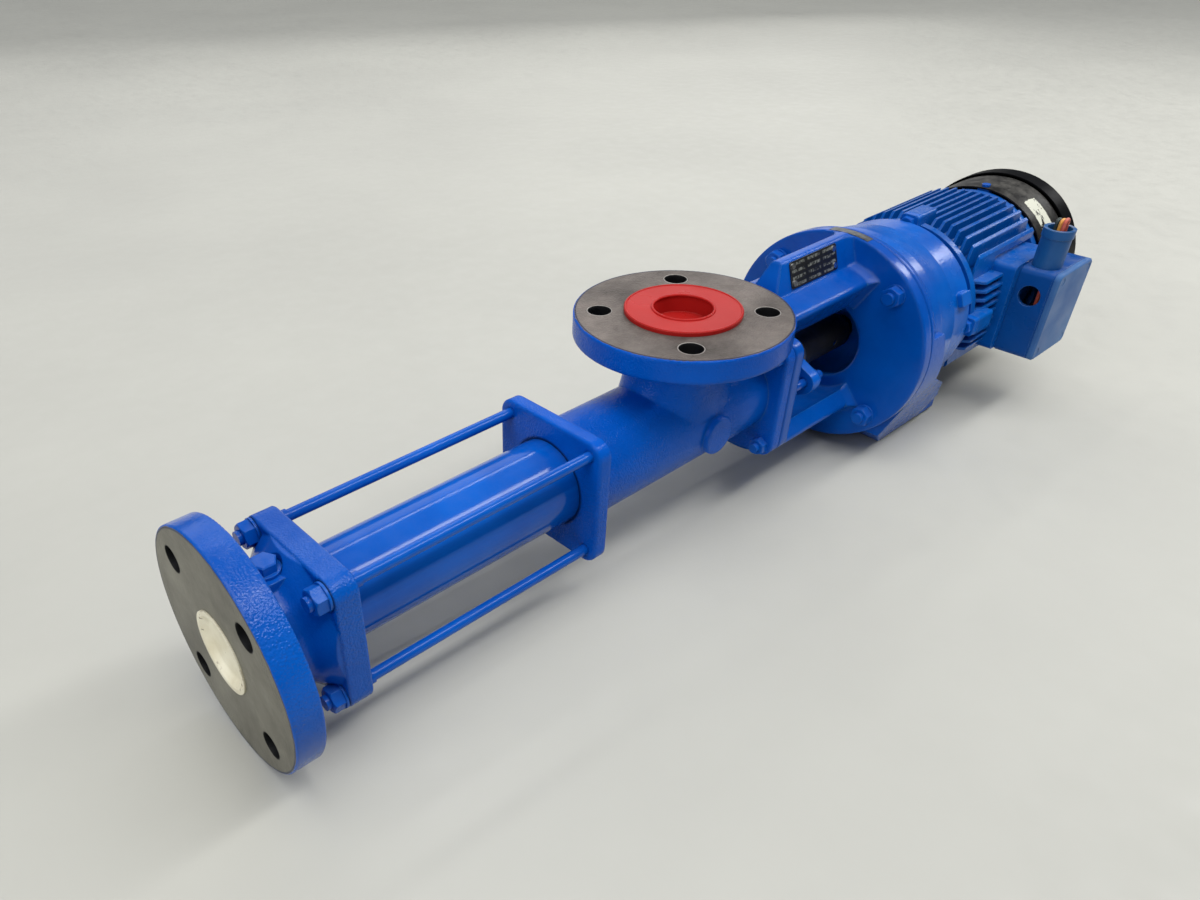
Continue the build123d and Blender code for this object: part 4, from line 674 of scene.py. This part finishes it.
# ---------------------------------------------------------------- branch cap
# Soft red plastic cap pushed into the branch, its rim lying on the flange's face.
# Satin, slightly translucent red with a few scuffs.
cap_red = finish("cap_red", (0.36, 0.010, 0.009), (0.45, 0.017, 0.015), 0.30, waves=0.3, relief=0.0002,
                 edge=0.001, wear=0.15, worn=(0.62, 0.10, 0.08), dust=0.01, shine=0.10)
cap_red.node_tree.nodes["Principled BSDF"].inputs["Subsurface Weight"].default_value = 0.08
cap_red.node_tree.nodes["Principled BSDF"].inputs["Subsurface Scale"].default_value = 0.004
dress(cap_red, "branch_cap")

# ---------------------------------------------------------------- cap beads
# Two round beads moulded on the red cap, one round its cup's mouth and one along its outer edge.
# Same soft red plastic, one piece with the cap.


def add_object(name, shape, material):
    """New object from a finished bmesh."""
    mesh = bpy.data.meshes.new(name)
    shape.to_mesh(mesh)
    shape.free()
    mesh.materials.append(material)
    thing = bpy.data.objects.new(name, mesh)
    bpy.context.scene.collection.objects.link(thing)
    return thing


def bead_ring(name, centre, radius, thick):
    """Round bead lying flat in a ring."""
    ring = bmesh.new()
    section = Matrix.Translation(centre + Vector((radius, 0, 0))) @ Matrix.Rotation(math.radians(90), 4, "X")
    bmesh.ops.create_circle(ring, segments=12, radius=thick, matrix=section)
    bmesh.ops.spin(ring, geom=ring.verts[:] + ring.edges[:], cent=centre, axis=(0, 0, 1), angle=math.tau,
                   steps=96, use_merge=True, use_duplicate=False)
    bmesh.ops.recalc_face_normals(ring, faces=ring.faces)
    for face in ring.faces:
        face.smooth = True
    bead = add_object(name, ring, cap_red)
    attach(bead, "branch_cap")


cap_low, cap_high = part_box("branch_cap")
cap_top = Vector(((cap_low[0] + cap_high[0]) / 2, 0, cap_high[2]))
cap_radius = (cap_high[0] - cap_low[0]) / 2
mouth_radius, mouth_bead, edge_bead = 0.0231, 0.0011, 0.0009
bead_ring("cap_mouth_bead", cap_top, mouth_radius, mouth_bead)
bead_ring("cap_edge_bead", cap_top - Vector((0, 0, 0.0003)), cap_radius - 0.0010, edge_bead)

# ---------------------------------------------------------------- end plug
# Cream plastic plug in the end flange's port, with a thin rim.
# Aged and stained, small dark chips round its edge.
plug_cream = finish("plug_cream", (0.72, 0.66, 0.48), (0.90, 0.86, 0.70), 0.50, waves=0.4, relief=0.0003,
                    edge=0.001, wear=0.35, worn=(0.88, 0.85, 0.74), dust=0.0, drift=40.0)
tree = plug_cream.node_tree
coords = add(tree, "TexCoord").outputs["Object"]
chips = add(tree, "TexNoise", {"Vector": coords, "Scale": 210.0, "Detail": 6.0, "Roughness": 0.7})
overlay(plug_cream, calc(tree, "GREATER_THAN", chips.outputs["Fac"], 0.67), (0.10, 0.08, 0.05), 0.7)
x, y, z = place(plug_cream)
plug_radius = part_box("end_plug")[1][1]
border = between(tree, length_of(tree, y, z), plug_radius - 0.0045, plug_radius - 0.0005, 0.001)
grime = add(tree, "TexNoise", {"Vector": coords, "Scale": 120.0, "Detail": 5.0, "Roughness": 0.7})
grimy = calc(tree, "MULTIPLY", border, calc(tree, "GREATER_THAN", grime.outputs["Fac"], 0.61))
overlay(plug_cream, grimy, (0.20, 0.13, 0.07), 0.7)
dress(plug_cream, "end_plug")

# ---------------------------------------------------------------- data plate
# Thin aluminium plate riveted to the ridge: black ground with rows of bare metal fields, all blank.
# Printed and lacquered, its edge bare.
plate_print = finish("plate_print", (0.004, 0.004, 0.004), (0.010, 0.010, 0.010), 0.30, coat=0.1, waves=0.1,
                     relief=0.0001, edge=0.0003, wear=0.3, worn=(0.3, 0.3, 0.3), worn_metal=0.8, dust=0.02)
x, y, z = place(plate_print)
tree = plate_print.node_tree
low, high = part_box("nameplate")
columns, rows = 3, 4
across = calc(tree, "MULTIPLY", calc(tree, "SUBTRACT", x, low[0]), columns / (high[0] - low[0]))
up = calc(tree, "MULTIPLY", calc(tree, "SUBTRACT", z, low[2]), rows / (high[2] - low[2]))
fields = calc(tree, "MULTIPLY", between(tree, calc(tree, "FRACT", across), 0.10, 0.90, 0.02),
              between(tree, calc(tree, "FRACT", up), 0.30, 0.72, 0.05))
coords = add(tree, "TexCoord").outputs["Object"]
scuffs = add(tree, "TexNoise", {"Vector": coords, "Scale": 420.0, "Detail": 3.0})
scuffed = add(tree, "MapRange", {"Value": scuffs.outputs["Fac"], "From Min": 0.42, "From Max": 0.60})
bare_fields = calc(tree, "MULTIPLY", fields, scuffed.outputs[0])
overlay(plate_print, bare_fields, (0.24, 0.25, 0.22), 0.34, 0.4)
dress(plate_print, "nameplate")

# ---------------------------------------------------------------- data plate rivets
# Four bright drive rivets at the plate's corners.
# Bare aluminium.
rivet_metal = finish("rivet_metal", (0.70, 0.71, 0.72), (0.85, 0.86, 0.87), 0.18, metal=1.0, dust=0.0)
dress(rivet_metal, "nameplate_rivets")

# ---------------------------------------------------------------- rim plate
# Second, smaller metal plate bent over the big flange's rim near its top, bare and grey.
# Thin aluminium, glued on and dulled by stains.
rim_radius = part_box("lantern")[1][1] + 0.00005
rim_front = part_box("lantern")[1][0] - 0.0135
rim_width, rim_thick = 0.009, 0.0004
rim_start, rim_sweep = math.radians(-9), math.radians(22)
strip = bmesh.new()
corners = [strip.verts.new((rim_front + px, 0, rim_radius + pz))
           for px, pz in ((0, 0), (rim_width, 0), (rim_width, rim_thick), (0, rim_thick))]
strip.faces.new(corners)
bmesh.ops.rotate(strip, verts=strip.verts, cent=(0, 0, 0), matrix=Matrix.Rotation(rim_start, 3, "X"))
bmesh.ops.spin(strip, geom=strip.verts[:] + strip.edges[:] + strip.faces[:], cent=(0, 0, 0), axis=(1, 0, 0),
               angle=rim_sweep, steps=24, use_merge=False, use_duplicate=False)
bmesh.ops.recalc_face_normals(strip, faces=strip.faces)
plate_grey = finish("plate_grey", (0.035, 0.038, 0.040), (0.20, 0.20, 0.19), 0.38, metal=0.5, waves=0.2,
                    relief=0.0002, dust=0.1, drift=240.0)
rim_label = add_object("rim_label", strip, plate_grey)
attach(rim_label, "pump_body")

# ---------------------------------------------------------------- floor, light and camera
# Plain pale floor that the front flange's rim and the foot's front edge rest on, so it slopes a little.
# Long soft lamps above both sides, dim banks beyond the far side and the front end, and an even ceiling.
foot_half = 0.052
flange_low = Vector((0.0, 0.0, -flange_radius))
foot_edge = Vector((foot_x - foot_half, 0.0, foot_base))
slope = math.atan2(flange_low.z - foot_edge.z, foot_edge.x - flange_low.x)
floor_half, floor_gap = 14.0, 0.0003
slab = bmesh.new()
bmesh.ops.create_grid(slab, x_segments=1, y_segments=1, size=floor_half)
bmesh.ops.rotate(slab, verts=slab.verts, cent=(0, 0, 0), matrix=Matrix.Rotation(slope, 3, "Y"))
bmesh.ops.translate(slab, verts=slab.verts, vec=flange_low - Vector((0, 0, floor_gap)))
floor_board = finish("floor_board", (0.45, 0.445, 0.405), (0.49, 0.485, 0.44), 0.60, waves=0.02,
                     relief=0.0001, dust=0.0, drift=2.0, shine=0.3)
add_object("floor", slab, floor_board)


def strip_light(name, spot, aim, size, power):
    """Rectangular lamp that looks at a point."""
    data = bpy.data.lights.new(name, "AREA")
    data.shape = "RECTANGLE"
    data.size, data.size_y = size
    data.energy = power
    lamp = bpy.data.objects.new(name, data)
    lamp.location = spot
    facing = (Vector(spot) - Vector(aim)).normalized()
    across = (Vector((1, 0, 0)) - facing * facing.x).normalized()
    lamp.rotation_euler = Matrix((across, facing.cross(across), facing)).transposed().to_euler()
    bpy.context.scene.collection.objects.link(lamp)


strip_light("near_strip", (1.7, -0.90, 2.0), (0.5, 0, 0), (4.0, 0.34), 48.0)
strip_light("far_strip", (1.35, 1.45, 1.8), (0.3, 0, 0), (2.6, 0.12), 8.0)
strip_light("wall_bank", (1.8, 2.2, 1.1), (0.6, 0, 0.1), (4.0, 1.5), 18.0)
strip_light("end_bank", (-2.4, -0.2, 1.3), (0, 0, 0), (1.6, 1.2), 26.0)
ceiling_data = bpy.data.lights.new("ceiling", "SUN")
ceiling_data.energy, ceiling_data.angle = 1.5, math.radians(50)
ceiling = bpy.data.objects.new("ceiling", ceiling_data)
ceiling.rotation_euler = (math.radians(8), math.radians(-10), 0)
bpy.context.scene.collection.objects.link(ceiling)
world = bpy.data.worlds.new("studio")
world.use_nodes = True
tree = world.node_tree
up = add(tree, "SeparateXYZ", {0: add(tree, "TexCoord").outputs["Generated"]}).outputs["Z"]
above = calc(tree, "MAXIMUM", up, 0.0)
dome = calc(tree, "MULTIPLY_ADD", calc(tree, "POWER", above, 1.5), 0.48, 0.04)
feed(tree, tree.nodes["Background"].inputs["Strength"], dome)
tree.nodes["Background"].inputs["Color"].default_value = (0.90, 0.95, 1.0, 1)
bpy.context.scene.world = world
bpy.context.scene.view_settings.view_transform = "Standard"

camera_data = bpy.data.cameras.new("view")
camera_data.sensor_width = 36.0
camera_data.lens = 27.016
camera_data.shift_x = 0.1053
camera_data.shift_y = 0.0571
camera_data.clip_start = 0.02
forward = Vector((0.49773, 0.62569, -0.60065)).normalized()
right = Vector((0.76772, -0.64006, -0.03056)).normalized()
upward = right.cross(forward)
camera = bpy.data.objects.new("view", camera_data)
camera.matrix_world = Matrix((
    (right.x, upward.x, -forward.x, -0.11898),
    (right.y, upward.y, -forward.y, -0.39379),
    (right.z, upward.z, -forward.z, 0.37897),
    (0, 0, 0, 1)))
bpy.context.scene.collection.objects.link(camera)
bpy.context.scene.camera = camera
